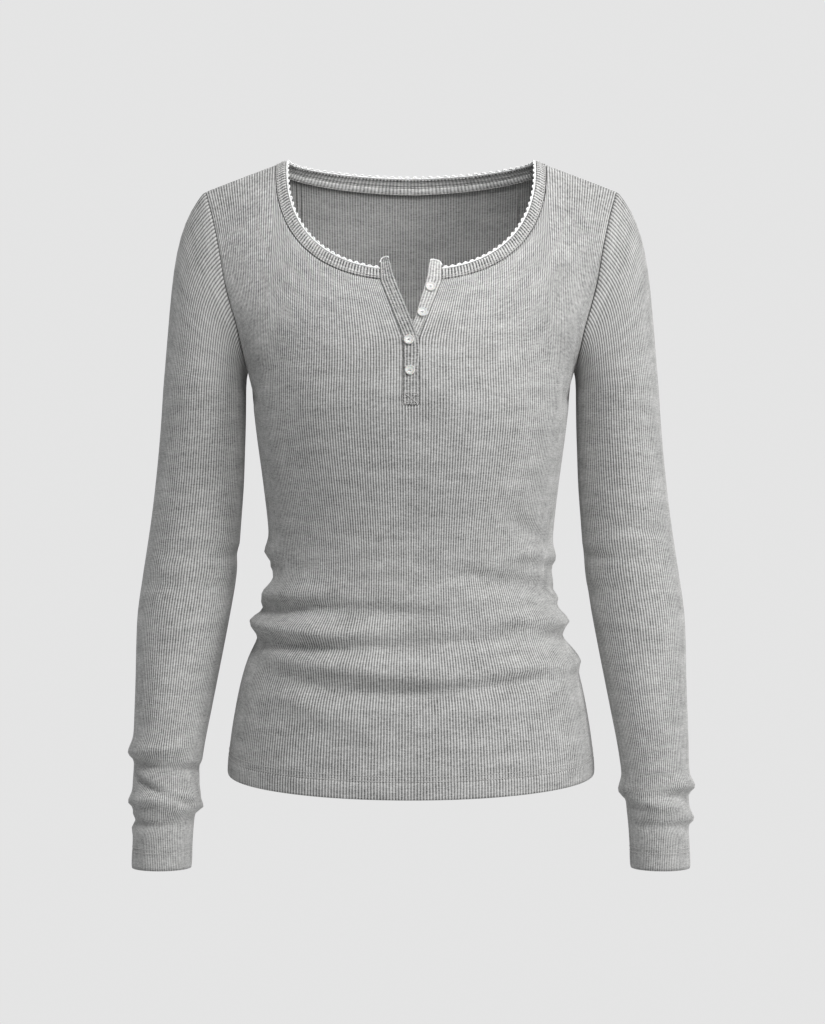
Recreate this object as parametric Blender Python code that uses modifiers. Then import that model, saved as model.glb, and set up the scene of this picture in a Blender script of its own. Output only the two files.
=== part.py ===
"""A long-sleeved henley shirt in rib knit, filled out as if worn, with no one in it.

Metres, +Z up, front towards -Y, the wearer's left at +X. The origin is midway between the two high
neck points. Every cloth piece is a closed wall: a finely ribbed outside over a plain, coarser inside.
"""

import functools
import math

import bmesh
import bpy
import numpy as np
from mathutils import Vector

# ---- cloth --------------------------------------------------------------------------------------
WALL = 0.0014            # thickness of a cloth wall under its ribs
RIB_HEIGHT = 0.00045     # how far a rib stands up from the ground of the knit
SEAM_GAP = 0.0003        # between the edges of two pieces sewn together
HALF_FRONT_RIBS = 24     # ribs from the placket to a side seam, one for about three of the real knit's
PLACKET_RIBS = 2         # ribs across the front under the placket's foot
BACK_RIBS = 45
SLEEVE_RIBS = 30         # ribs round one sleeve
INSIDE_SHARES = (0, 0.21, 0.39, 0.54, 2 / 3, 0.79, 0.90, 1)   # plain columns inside half a panel
INSIDE_SLEEVE_COLUMNS = 12

# ---- rows of points, as heights at the middle of a panel, then as shares of the armhole ---------
FRONT_ROW_Z = (-0.5655, -0.530, -0.488, -0.467, -0.453, -0.440, -0.427, -0.414, -0.401,
               -0.388, -0.375, -0.361, -0.346, -0.320, -0.275, -0.225, -0.191)
BACK_ROW_Z = (-0.5655, -0.510, -0.468, -0.448, -0.432, -0.416, -0.401, -0.386, -0.371, -0.354,
              -0.300, -0.191)
SLEEVE_ROW_Z = (-0.207, -0.262, -0.318, -0.352, -0.384, -0.430, -0.490, -0.522, -0.540, -0.552,
                -0.563, -0.575, -0.586, -0.598, -0.612, -0.631)
ARMHOLE_ROWS = (0.0, 0.10, 0.26, 0.46, 0.68, 0.88, 1.0)
INSIDE_DRAWN_BACK = 0.4  # a panel's plain inside stops short of its top by this much of a row

# ---- body: half widths and depths of the filled-out shirt at each height ------------------------
BODY_COLUMNS = ("z", "half_width", "front", "back")
BODY = (
    (-0.010, 0.240, 0.088, 0.074),
    (-0.063, 0.218, 0.093, 0.084),
    (-0.117, 0.188, 0.101, 0.093),
    (-0.153, 0.167, 0.111, 0.096),
    (-0.191, 0.1462, 0.1178, 0.094),
    (-0.215, 0.1422, 0.1205, 0.090),
    (-0.250, 0.1378, 0.1170, 0.083),
    (-0.293, 0.1320, 0.1080, 0.074),
    (-0.330, 0.1278, 0.0990, 0.068),
    (-0.362, 0.1256, 0.0955, 0.066),
    (-0.395, 0.1290, 0.0965, 0.069),
    (-0.430, 0.1400, 0.1005, 0.078),
    (-0.462, 0.1505, 0.1045, 0.089),
    (-0.500, 0.1585, 0.1075, 0.099),
    (-0.535, 0.1632, 0.1095, 0.105),
    (-0.570, 0.1650, 0.1105, 0.107),
)
SECTION_ROUNDNESS = 2.35    # exponent of a section's superellipse
ARMPIT_Z = -0.191
HEM_SIDE_Z = -0.548
HEM_DIP = 0.0175            # the hem hangs this much lower at its middle

# ---- shoulders and neck -------------------------------------------------------------------------
SHOULDER_SLOPE = 0.41
SHOULDER_CREST_Z = 0.0514   # where the two shoulder lines would meet
SHOULDER_EASE = 0.060
SHOULDER_X = 0.185
CHEST_DROP = 0.242          # below the shoulder line the front has its full depth
CHEST_ROUNDNESS = 1.42
BACK_DROP = 0.200
BACK_ROUNDNESS = 1.7
FRONT_NECK_ROUNDNESS = 2.4
BACK_NECK_ROUNDNESS = 1.75
NECK_HALF_WIDTH = 0.1100    # at the tips of the edging
FRONT_NECK_DROP = 0.1030
BACK_NECK_DROP = 0.0108
BAND_FREE_OUT = 0.0026      # the band's free edge, out from the tips of the edging
BAND_SEWN_OUT = 0.0118      # its sewn edge
BAND_EASE = 0.0006          # between the band and the panels, and twice that over the shoulders
BAND_STATIONS = 53
NECK_BEND_WEIGHT = 0.03     # length of band that a bend of one radian counts for, in placing stations
NECK_END_X = 0.0272         # where the band and its edging stop, beside the placket's strips
NECK_COLUMNS_SHARE = 2 / 3  # share of a panel's columns, from its middle, that end at the neck

ARMHOLE_COLUMNS = ("z", "x")
ARMHOLE = (
    (-0.191, 0.1462),
    (-0.153, 0.1545),
    (-0.117, 0.1645),
    (-0.080, 0.1715),
    (-0.050, 0.1785),
    (-0.0284, 0.1850),
)

# ---- placket: each strip's sewn edge and free edge, from the foot up ----------------------------
PLACKET_FOOT_Z = -0.2250
PLACKET_HALF_WIDTH = 0.0075
PLACKET_SPLIT_Z = -0.1670    # the slit opens into a V above this height
V_HALF_WIDTH = 0.0268        # half the slit's width where it meets the neckband
STRIP_EASE = 0.0005          # between a strip and the edge of the front it is sewn to
STRIP_COLUMNS = ("z", "free", "lift")    # height, x of the free edge, height off the body surface
OVER_STRIP = (
    (-0.2246, 0.0070, 0.0006),
    (-0.1960, 0.0070, 0.0006),
    (-0.1670, 0.0068, 0.0006),
    (-0.1580, 0.0028, 0.0006),
    (-0.1500, -0.0006, 0.0006),
    (-0.1380, -0.0056, 0.0006),
    (-0.1240, -0.0115, 0.0006),
    (-0.1120, -0.0157, 0.0006),
    (-0.1030, -0.0184, 0.0006),
    (-0.0995, -0.0202, 0.0006),
)
UNDER_STRIP = (
    (-0.2246, -0.0070, -0.0011),
    (-0.1960, -0.0070, -0.0011),
    (-0.1670, -0.0058, -0.0011),
    (-0.1580, -0.0012, -0.0011),
    (-0.1500, 0.0024, -0.0006),
    (-0.1380, 0.0062, 0.0006),
    (-0.1240, 0.0104, 0.0006),
    (-0.1120, 0.0136, 0.0006),
    (-0.1030, 0.0148, 0.0006),
    (-0.0995, 0.0162, 0.0006),
)
STRIP_TOP_ROUNDING = 0.0020  # the sewn edge's top corner is drawn in by this much

# ---- buttons and edging -------------------------------------------------------------------------
BUTTON_RADIUS = 0.0045
BUTTON_HEIGHT = 0.0022
BUTTON_RIM = 0.0009
BUTTON_DISH = 0.0006
BUTTON_SIDES = 12
BUTTONS = (                 # x and z of each, from the top down
    (0.0169, -0.1220),
    (0.0098, -0.1446),
    (-0.0018, -0.1690),
    (-0.0008, -0.1955),
)
PICOTS_PER_STATION = 2      # scallops of the edging for each stretch of the neckband
PICOT_VALLEY = 0.0010
PICOT_CREST = 0.0024
PICOT_WIDTH = 0.0011

# ---- sleeves: sections from under the armhole to the cuff ---------------------------------------
SLEEVE_COLUMNS = ("z", "centre_x", "half_width", "centre_y", "half_depth")
SLEEVE = (
    (-0.207, 0.1858, 0.0368, 0.003, 0.0480),
    (-0.236, 0.1870, 0.0376, 0.005, 0.0468),
    (-0.265, 0.1887, 0.0384, 0.006, 0.0458),
    (-0.293, 0.1906, 0.0393, 0.006, 0.0448),
    (-0.322, 0.1933, 0.0400, 0.005, 0.0438),
    (-0.351, 0.1964, 0.0410, 0.003, 0.0430),
    (-0.380, 0.2000, 0.0416, 0.000, 0.0424),
    (-0.408, 0.2040, 0.0410, -0.004, 0.0414),
    (-0.437, 0.2070, 0.0388, -0.009, 0.0400),
    (-0.465, 0.2096, 0.0362, -0.015, 0.0386),
    (-0.493, 0.2124, 0.0338, -0.021, 0.0370),
    (-0.521, 0.2152, 0.0314, -0.027, 0.0352),
    (-0.555, 0.2176, 0.0290, -0.033, 0.0332),
    (-0.593, 0.2194, 0.0264, -0.039, 0.0314),
    (-0.631, 0.2206, 0.0258, -0.044, 0.0304),
)
SLEEVE_HEAD_RINGS = (0.0, 0.08, 0.20, 0.40, 0.70)   # shares of the way down the sleeve head
SLEEVE_HEAD_SWELL = 0.62  # of the head's width is reached in a round shoulder, the rest straight
SLEEVE_HEAD_ROUNDNESS = 6.0

# ---- folds --------------------------------------------------------------------------------------
# "around" counts quarters of the way round the body from the centre front: -1 and 1 are the side
# seams and 2 is the centre back. A fold runs from its start to its end, bows down by its sag, and
# stands out (or in, below zero) by its height over a soft half width. The columns are around_start,
# z_start, around_end, z_end, sag, height and half_width.
QUARTERS = 4
FOLD_ENDS = 0.3             # share of a fold's length over which it dies out at each end
BODY_FOLDS = (
    (-1.75, -0.345, -0.62, -0.356, 0.000, 0.0056, 0.0085),
    (-1.50, -0.370, -0.75, -0.373, 0.000, -0.0042, 0.0080),
    (-1.80, -0.388, -0.28, -0.385, 0.010, 0.0088, 0.0100),
    (-1.35, -0.412, 0.30, -0.410, 0.004, -0.0046, 0.0085),
    (-1.70, -0.418, -0.05, -0.436, -0.004, 0.0096, 0.0090),
    (-1.25, -0.438, 0.75, -0.424, 0.022, -0.0046, 0.0085),
    (-0.92, -0.432, 0.35, -0.466, 0.004, 0.0056, 0.0095),
    (-0.85, -0.458, 0.85, -0.452, 0.026, -0.0040, 0.0080),
    (-0.60, -0.478, -0.10, -0.508, 0.000, 0.0026, 0.0120),
    (0.08, -0.368, 1.35, -0.378, 0.004, -0.0050, 0.0085),
    (0.35, -0.350, 1.50, -0.358, 0.004, 0.0044, 0.0090),
    (0.58, -0.390, 1.75, -0.398, 0.000, 0.0066, 0.0090),
    (0.30, -0.408, 1.60, -0.406, 0.010, 0.0070, 0.0095),
    (0.55, -0.424, 1.45, -0.424, 0.000, -0.0040, 0.0080),
    (0.10, -0.456, 1.55, -0.438, 0.006, 0.0050, 0.0095),
    (0.42, -0.318, 0.88, -0.352, 0.000, -0.0032, 0.0120),
    (1.35, -0.366, 2.65, -0.362, -0.006, 0.0052, 0.0110),
    (1.25, -0.386, 2.60, -0.390, -0.004, -0.0022, 0.0095),
    (1.40, -0.414, 2.70, -0.410, -0.008, 0.0048, 0.0110),
    (-1.06, -0.200, -0.70, -0.224, 0.000, -0.0030, 0.0080),
    (0.70, -0.222, 1.06, -0.198, 0.000, -0.0034, 0.0080),
)
# On a sleeve "around" counts quarters from the underarm: 1 is the front, 2 the outside, 3 the back.
SLEEVE_RIGHT_FOLDS = (
    (-0.6, -0.352, 1.7, -0.350, 0.002, -0.0018, 0.0080),
    (0.0, -0.382, 2.0, -0.376, 0.002, -0.0020, 0.0080),
    (0.2, -0.522, 3.4, -0.538, 0.000, 0.0048, 0.0080),
    (-0.4, -0.548, 2.2, -0.546, 0.002, -0.0040, 0.0060),
    (-0.5, -0.564, 3.1, -0.578, 0.000, 0.0044, 0.0060),
    (-1.2, -0.578, 1.3, -0.577, 0.000, 0.0068, 0.0070),
    (0.6, -0.559, 1.9, -0.563, 0.000, -0.0020, 0.0050),
    (0.2, -0.590, 2.6, -0.586, 0.003, -0.0034, 0.0055),
    (1.6, -0.596, 3.2, -0.598, 0.000, 0.0024, 0.0070),
)
SLEEVE_LEFT_FOLDS = (
    (0.4, -0.326, 1.9, -0.332, 0.000, -0.0022, 0.0080),
    (-0.2, -0.352, 1.5, -0.356, 0.002, -0.0020, 0.0080),
    (-0.2, -0.388, 1.4, -0.380, 0.000, -0.0018, 0.0080),
    (1.0, -0.557, 3.2, -0.566, 0.000, 0.0058, 0.0070),
    (-0.3, -0.566, 2.2, -0.562, 0.002, -0.0036, 0.0060),
    (-1.1, -0.556, 1.5, -0.578, 0.000, 0.0058, 0.0080),
    (0.2, -0.592, 2.1, -0.592, 0.000, -0.0034, 0.0055),
    (1.3, -0.588, 3.0, -0.590, 0.000, 0.0050, 0.0062),
)

SAME = 1e-6                 # two shares this close are one column


# ---- reading the tables -------------------------------------------------------------------------
def column(table, names, name):
    """One column of a table, as an array."""
    return np.array([row[names.index(name)] for row in table])


@functools.lru_cache(maxsize=None)
def rising(table, names, name):
    """A table's heights from the lowest up, with a column's values and slopes at them."""
    heights = column(table, names, "z")
    values = column(table, names, name)
    if heights[0] > heights[-1]:
        heights, values = heights[::-1], values[::-1]
    return heights, values, np.gradient(values, heights)


def smooth(table, names, at, name):
    """A column read at a height, along a smooth curve through the rows (Catmull-Rom)."""
    heights, values, slopes = rising(table, names, name)
    at = min(max(at, heights[0]), heights[-1])
    i = min(max(int(np.searchsorted(heights, at, side="right")) - 1, 0), len(heights) - 2)
    span = heights[i + 1] - heights[i]
    t = (at - heights[i]) / span
    return float(
        (2 * t**3 - 3 * t**2 + 1) * values[i]
        + (t**3 - 2 * t**2 + t) * span * slopes[i]
        + (3 * t**2 - 2 * t**3) * values[i + 1]
        + (t**3 - t**2) * span * slopes[i + 1]
    )


def smoothstep(value):
    value = min(max(value, 0.0), 1.0)
    return value * value * (3 - 2 * value)


def unit(vector):
    return vector / max(float(np.linalg.norm(vector)), 1e-12)


# ---- the surface the cloth follows --------------------------------------------------------------
def shoulder_line(x):
    """Height of the shoulder seam, carried on over the neck."""
    return SHOULDER_CREST_Z - SHOULDER_SLOPE * np.hypot(x, SHOULDER_EASE)


def body_depth(x, z, facing):
    """Distance of the cloth from the side-seam plane; facing is -1 for the front, 1 for the back."""
    half_width = smooth(BODY, BODY_COLUMNS, z, "half_width")
    full = smooth(BODY, BODY_COLUMNS, z, "front" if facing < 0 else "back")
    drop, roundness = (CHEST_DROP, CHEST_ROUNDNESS) if facing < 0 else (BACK_DROP, BACK_ROUNDNESS)
    across = np.minimum(np.abs(x) / half_width, 1.0)
    section = (1 - across**SECTION_ROUNDNESS) ** (1 / SECTION_ROUNDNESS)
    below = np.clip((shoulder_line(x) - z) / drop, 0.0, 1.0)
    return full * section * (1 - (1 - below) ** roundness) ** (1 / roundness)


@functools.lru_cache(maxsize=None)
def section_arcs(z, facing):
    """x along a section from side seam to side seam, with the length of arc up to each."""
    half_width = smooth(BODY, BODY_COLUMNS, z, "half_width")
    turn = np.linspace(-math.pi / 2, math.pi / 2, 241)
    xs = half_width * np.sign(turn) * np.abs(np.sin(turn)) ** (2 / SECTION_ROUNDNESS)
    ys = body_depth(xs, z, facing)
    return xs, np.concatenate(([0.0], np.cumsum(np.hypot(np.diff(xs), np.diff(ys)))))


def section_x(z, share, facing):
    """x at a share (-1 to 1) of the panel's girth at this height, equal shares being equal arcs."""
    xs, arcs = section_arcs(z, facing)
    return float(np.interp((share + 1) / 2 * arcs[-1], arcs, xs))


def hem_z(share):
    return HEM_SIDE_Z - HEM_DIP * (1 - share * share)


def slit_x(z):
    """Half width of the placket slit at a height."""
    up = (z - PLACKET_SPLIT_Z) / (neck_edge(BAND_SEWN_OUT, 0.0)[1] - PLACKET_SPLIT_Z)
    return PLACKET_HALF_WIDTH + (V_HALF_WIDTH - PLACKET_HALF_WIDTH) * min(max(up, 0.0), 1.0)


def neck_roundness(facing):
    return FRONT_NECK_ROUNDNESS if facing < 0 else BACK_NECK_ROUNDNESS


def neck_edge(out, x, facing=-1):
    """A point (x, z) of the neckline moved out by a distance from the band's free edge."""
    half_width = NECK_HALF_WIDTH + out
    drop = (FRONT_NECK_DROP if facing < 0 else BACK_NECK_DROP) + out
    roundness = neck_roundness(facing)
    side_z = shoulder_line(half_width)
    across = min(abs(x) / half_width, 1.0)
    curve = (1 - across**roundness) ** (1 / roundness)
    return x, side_z - (drop + side_z) * curve


def fold_offset(folds, around, z):
    """How far the folds of a table move the cloth out at a place on it."""
    total = 0.0
    for start, z_start, end, z_end, sag, height, half_width in folds:
        for place in (around - QUARTERS, around, around + QUARTERS):
            share = (place - start) / (end - start)
            if not 0 < share < 1:
                continue
            middle = z_start + (z_end - z_start) * share - sag * math.sin(math.pi * share)
            ends = min(smoothstep(share / FOLD_ENDS), smoothstep((1 - share) / FOLD_ENDS))
            total += height * ends * math.exp(-(((z - middle) / half_width) ** 2))
    return total


# ---- armhole and sleeve -------------------------------------------------------------------------
def armhole_x(z):
    return smooth(ARMHOLE, ARMHOLE_COLUMNS, z, "x")


def armhole_curve(facing):
    """One half of the wearer's left armhole from the armpit to the shoulder, with its arc shares."""
    top = shoulder_line(SHOULDER_X)
    heights = ARMPIT_Z + (top - ARMPIT_Z) * np.linspace(0, 1, 61) ** 1.8
    points = np.array([
        (armhole_x(z), facing * body_depth(armhole_x(z), z, facing), z) for z in heights
    ])
    points[0][1] = 0.0
    points[-1][1] = 0.0
    arcs = np.concatenate(([0.0], np.cumsum(np.linalg.norm(np.diff(points, axis=0), axis=1))))
    return points, arcs / arcs[-1]


ARMHOLE_FRONT = armhole_curve(-1)
ARMHOLE_BACK = armhole_curve(1)


def armhole_point(share, facing):
    """A point of the wearer's left armhole; share runs from 0 at the armpit to 1 at the shoulder."""
    points, arcs = ARMHOLE_FRONT if facing < 0 else ARMHOLE_BACK
    return np.array([np.interp(share, arcs, points[:, axis]) for axis in range(3)])


def along_chords(share, value_at):
    """A value on the straight chord between two armhole rows, so that both walls share one edge."""
    rows = ARMHOLE_ROWS
    i = min(max(int(np.searchsorted(rows, share, side="right")) - 1, 0), len(rows) - 2)
    t = (share - rows[i]) / (rows[i + 1] - rows[i])
    return value_at(rows[i]) * (1 - t) + value_at(rows[i + 1]) * t


def sleeve_section(around, z):
    """A point of the left sleeve's section at a height; around counts quarters from the underarm."""
    centre_x, half_width, centre_y, half_depth = (
        smooth(SLEEVE, SLEEVE_COLUMNS, z, name) for name in SLEEVE_COLUMNS[1:]
    )
    angle = around * math.pi / 2
    return np.array([centre_x - half_width * math.cos(angle), centre_y - half_depth * math.sin(angle), z])


def sleeve_point(around, down):
    """A point of the left sleeve: down is 0 to 1 over the sleeve head, then 1 to 2 to the cuff."""
    around %= QUARTERS
    if down >= 1:
        z = SLEEVE[0][0] + (SLEEVE[-1][0] - SLEEVE[0][0]) * (down - 1)
        return sleeve_section(around, z)
    facing = -1 if around <= 2 else 1
    share = around / 2 if facing < 0 else (QUARTERS - around) / 2
    start = along_chords(share, lambda row: armhole_point(row, facing))
    start[0] += SEAM_GAP
    end = sleeve_section(around, SLEEVE[0][0])
    point = start + (end - start) * down
    round_part = 1 - (1 - down) ** SLEEVE_HEAD_ROUNDNESS
    out = down + (round_part - down) * SLEEVE_HEAD_SWELL
    point[0] = start[0] + (end[0] - start[0]) * out
    return point


# ---- panel mapping ------------------------------------------------------------------------------
def neck_share(facing):
    """The share of a panel's half width at which its neckline meets its shoulder seam."""
    first = SLIT_SHARE if facing < 0 else 0.0
    return first + (1 - first) * NECK_COLUMNS_SHARE


def top_edge(share, facing):
    """(x, z) of a panel's top edge: neckline in the middle, shoulder seams outside it."""
    neck_x = NECK_HALF_WIDTH + BAND_SEWN_OUT
    side = math.copysign(1.0, share)
    reach = abs(share)
    corner = neck_share(facing)
    if reach > corner - SAME:
        x = neck_x + (SHOULDER_X - neck_x) * max(reach - corner, 0.0) / (1 - corner)
        return side * x, shoulder_line(x)
    first, first_x = (SLIT_SHARE, V_HALF_WIDTH) if facing < 0 else (0.0, 0.0)
    below, below_first, below_corner = (
        section_x(ARMPIT_Z, place, facing) for place in (reach, first, corner)
    )
    x = first_x + (neck_x - first_x) * max(below - below_first, 0.0) / (below_corner - below_first)
    return neck_edge(BAND_SEWN_OUT, side * x, facing)


def panel_point(share, up, facing):
    """A point of the smooth panel: up is 0 to 1 from hem to armpit, then 1 to 2 to the top edge."""
    if up <= 1:
        z = hem_z(share) + (ARMPIT_Z - hem_z(share)) * up
        x = section_x(z, share, facing)
        if facing < 0 and abs(share) == SLIT_SHARE:
            x = math.copysign(PLACKET_HALF_WIDTH, share)
        if abs(share) == 1:
            return np.array([x, 0.0, z])
        return np.array([x, facing * body_depth(x, z, facing), z])
    rise = up - 1
    side = math.copysign(1.0, share)
    if abs(share) == 1:
        return along_chords(rise, lambda row: armhole_point(row, facing)) * np.array([side, 1, 1])
    low = np.array([section_x(ARMPIT_Z, share, facing), ARMPIT_Z])
    high = np.array(top_edge(share, facing))
    edge = armhole_point(rise, facing)[[0, 2]]
    straight = np.array([armhole_x(ARMPIT_Z), ARMPIT_Z]) * (1 - rise)
    straight += np.array([SHOULDER_X, shoulder_line(SHOULDER_X)]) * rise
    pull = abs(share) ** 3
    x = low[0] + (high[0] - low[0]) * rise + side * pull * (edge[0] - straight[0])
    z = low[1] + (high[1] - low[1]) * rise + pull * (edge[1] - straight[1])
    if facing < 0 and abs(share) < neck_share(facing):
        fan = 1 - (abs(share) - SLIT_SHARE) / (neck_share(facing) - SLIT_SHARE)
        plain = PLACKET_HALF_WIDTH + (V_HALF_WIDTH - PLACKET_HALF_WIDTH) * rise
        x += side * min(max(fan, 0.0), 1.0) ** 2 * (slit_x(z) - plain)
    return np.array([x, facing * body_depth(x, z, facing), z])


def around_of(share, facing):
    return share if facing < 0 else 2 - share


def up_of(z):
    """How far up a panel's lower part, 0 to 1, a height lies at its middle."""
    return (z - hem_z(0.0)) / (ARMPIT_Z - hem_z(0.0))


CHEST_XS, CHEST_ARCS = section_arcs(ARMPIT_Z, -1)
SLIT_SHARE = 2 * float(np.interp(PLACKET_HALF_WIDTH, CHEST_XS, CHEST_ARCS)) / CHEST_ARCS[-1] - 1
SLIT_FOOT_UP = up_of(PLACKET_FOOT_Z)


# ---- walls --------------------------------------------------------------------------------------
def panel_normal(share, up, facing):
    """The way a panel's smooth surface faces."""
    step = 0.004
    right = panel_point(min(share + step, 1.0), up, facing)
    left = panel_point(max(share - step, -1.0), up, facing)
    above = panel_point(share, min(up + step, 2.0), facing)
    below = panel_point(share, max(up - step, 0.0), facing)
    return unit(np.cross(above - below, right - left)) * facing


def stitch(outside, inside):
    """Triangles between two rims, given as (place along the rim, vertex) pairs in step."""
    faces = []
    i = j = 0
    while i < len(outside) - 1 or j < len(inside) - 1:
        next_out = outside[i + 1][0] if i < len(outside) - 1 else math.inf
        next_in = inside[j + 1][0] if j < len(inside) - 1 else math.inf
        if next_out <= next_in:
            faces.append((outside[i][1], outside[i + 1][1], inside[j][1]))
            i += 1
        else:
            faces.append((outside[i][1], inside[j + 1][1], inside[j][1]))
            j += 1
    return faces


def rim(corners, us, vs, first):
    """The vertices of a grid that lie on a path through corners (u, v), with their places on it."""
    found = []
    for leg, ((u0, v0), (u1, v1)) in enumerate(zip(corners, corners[1:])):
        along_u = v0 == v1
        values = us if along_u else vs
        start, end = (u0, u1) if along_u else (v0, v1)
        fixed = vs.index(v0) if along_u else us.index(u0)
        picked = [
            (abs(value - start) / abs(end - start), k)
            for k, value in enumerate(values)
            if min(start, end) <= value <= max(start, end)
        ]
        for share, k in sorted(picked):
            vertex = first + (fixed * len(us) + k if along_u else k * len(us) + fixed)
            if not found or found[-1][1] != vertex:
                found.append((leg + share, vertex))
    return found


def grid_faces(us, vs, first, keep, wrap=False):
    """Quads of a grid, leaving out the cells that keep refuses."""
    columns = len(us)
    faces = []
    for row in range(len(vs) - 1):
        for k in range(columns if wrap else columns - 1):
            right = (k + 1) % columns
            if wrap or keep((us[k] + us[right]) / 2, (vs[row] + vs[row + 1]) / 2):
                low = first + row * columns
                high = low + columns
                faces.append((low + k, low + right, high + right, high + k))
    return faces


def add_mesh(name, verts, faces, material):
    """One closed body from points and faces, its loose points dropped and its faces turned out."""
    mesh = bpy.data.meshes.new(name)
    shape = bmesh.new()
    points = [shape.verts.new(point) for point in verts]
    for face in faces:
        shape.faces.new([points[k] for k in face])
    bmesh.ops.delete(shape, geom=[v for v in shape.verts if not v.link_faces], context="VERTS")
    bmesh.ops.triangulate(shape, faces=[f for f in shape.faces if len(f.verts) > 3])
    bmesh.ops.recalc_face_normals(shape, faces=shape.faces)
    shape.to_mesh(mesh)
    shape.free()
    mesh.shade_smooth()
    mesh.set_sharp_from_angle(angle=math.radians(50))
    mesh.materials.append(material)
    piece = bpy.data.objects.new(name, mesh)
    SHIRT.objects.link(piece)
    return piece


def rib_lift(k, count, row, rows):
    """Every second column is a rib's crest; ribs sink into the seams at both ends of a wall."""
    crest = k % 2 == 1 and 0 < row < rows - 1 and 0 < k < count - 1
    return RIB_HEIGHT if crest else 0.0


def body_panel(name, facing, outer_us, inner_us, vs, slit):
    """A front or back wall, from hem to shoulder, with a slit for the placket if it has one."""

    def keep(share, up):
        return not slit or abs(share) > SLIT_SHARE or up < SLIT_FOOT_UP

    def wall_point(share, up, lift):
        base = panel_point(share, up, facing)
        normal = rim_normal(share, up, facing)
        if normal is None:
            normal = panel_normal(share, up, facing)
        return base + normal * (lift + fold_offset(BODY_FOLDS, around_of(share, facing), base[2]))

    verts, faces = [], []

    def add_grid(us, ups, ribbed):
        """Points of one side of the wall, its sewn edges drawn back from the seams."""
        first = len(verts)
        rows = []
        for row, up in enumerate(ups):
            lifts = [-WALL] * len(us)
            if ribbed:
                lifts = [rib_lift(k, len(us), row, len(ups)) for k in range(len(us))]
            rows.append([wall_point(share, up, lift) for share, lift in zip(us, lifts)])
        grid = np.array(rows)
        sewn = ((grid[:, 0], grid[:, 1]), (grid[:, -1], grid[:, -2]), (grid[-1], grid[-2]))
        for edge, beside in sewn:
            edge += [unit(b - a) * SEAM_GAP / 2 for a, b in zip(edge, beside)]
        if not ribbed:
            grid[-1] += (grid[-2] - grid[-1]) * INSIDE_DRAWN_BACK
        verts.extend(grid.reshape(-1, 3))
        return first

    corners = [(-1.0, 0.0), (1.0, 0.0), (1.0, 2.0)]
    if slit:
        corners += [(SLIT_SHARE, 2.0), (SLIT_SHARE, SLIT_FOOT_UP)]
        corners += [(-SLIT_SHARE, SLIT_FOOT_UP), (-SLIT_SHARE, 2.0)]
    corners += [(-1.0, 2.0), (-1.0, 0.0)]
    first_out = add_grid(outer_us, vs, ribbed=True)
    first_in = add_grid(inner_us, vs, ribbed=False)
    outside = rim(corners, outer_us, vs, first_out)
    inside = rim(corners, inner_us, vs, first_in)
    faces += grid_faces(outer_us, vs, first_out, keep) + grid_faces(inner_us, vs, first_in, keep)
    # a neckline bends too much for the few columns inside, so the top rim has a fine row of its own
    top = first_out + (len(vs) - 1) * len(outer_us)
    lip = len(verts) - top
    for k, share in enumerate(outer_us):
        thickness = wall_point(share, 2.0, -WALL) - wall_point(share, 2.0, 0.0)
        verts.append(verts[top + k] + thickness)
        if k and keep((outer_us[k - 1] + share) / 2, 2.0):
            faces.append((top + k - 1, top + k, top + k + lip, top + k - 1 + lip))
    outside = around_lip(outside, top, len(outer_us), lip)
    faces += stitch(outside, inside)
    return add_mesh(name, verts, faces, KNIT)


def around_lip(loop, top, columns, lip):
    """A rim's path with its top row moved on to the lip's row, by way of the lip's two ends."""
    on_top = [top <= vertex < top + columns for _, vertex in loop]
    path = []
    for k, (place_on_rim, vertex) in enumerate(loop):
        ways = [vertex]
        if on_top[k]:
            ways = [vertex] * (not on_top[k - 1]) + [vertex + lip] + [vertex] * (not on_top[k + 1])
        path += [(place_on_rim + SAME * turn, way) for turn, way in enumerate(ways)]
    return path


def rim_normal(share, up, facing):
    """The way a wall faces at its sewn edges, shared by the two pieces of a seam."""
    side = math.copysign(1.0, share)
    if abs(share) == 1 and up <= 1:
        return np.array([side, 0.0, 0.0])
    if abs(share) == 1:
        normal = along_chords(up - 1, lambda row: armhole_normal(row, facing, of_panel=True))
        return normal * np.array([side, 1, 1])
    if up == 2 and abs(share) > neck_share(facing) - SAME:
        return unit(np.array([side * SHOULDER_SLOPE, 0.0, 1.0]))
    return None


def armhole_normal(share, facing, of_panel):
    """Left armhole: the panel's own way out, leaning to the sleeve's where the seam is a ridge."""
    step = 0.02
    inner = panel_point(1.0 - step, 1.0 + share, facing)
    at = armhole_point(share, facing)
    around = share * 2 if facing < 0 else QUARTERS - share * 2
    beyond = sleeve_point(around, step)
    above = armhole_point(min(share + step, 1.0), facing)
    below = armhole_point(max(share - step, 0.0), facing)
    panel_out = unit(np.cross(above - below, inner - at)) * -facing
    sleeve_out = unit(np.cross(beyond - at, above - below)) * -facing
    if share == 1:
        panel_out = unit(np.array([SHOULDER_SLOPE, 0.0, 1.0]))
        sleeve_out = unit(sleeve_out * np.array([1, 0, 1]))
    own, other = (panel_out, sleeve_out) if of_panel else (sleeve_out, panel_out)
    return unit(own + other * max(float(own @ other), 0.0))


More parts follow.
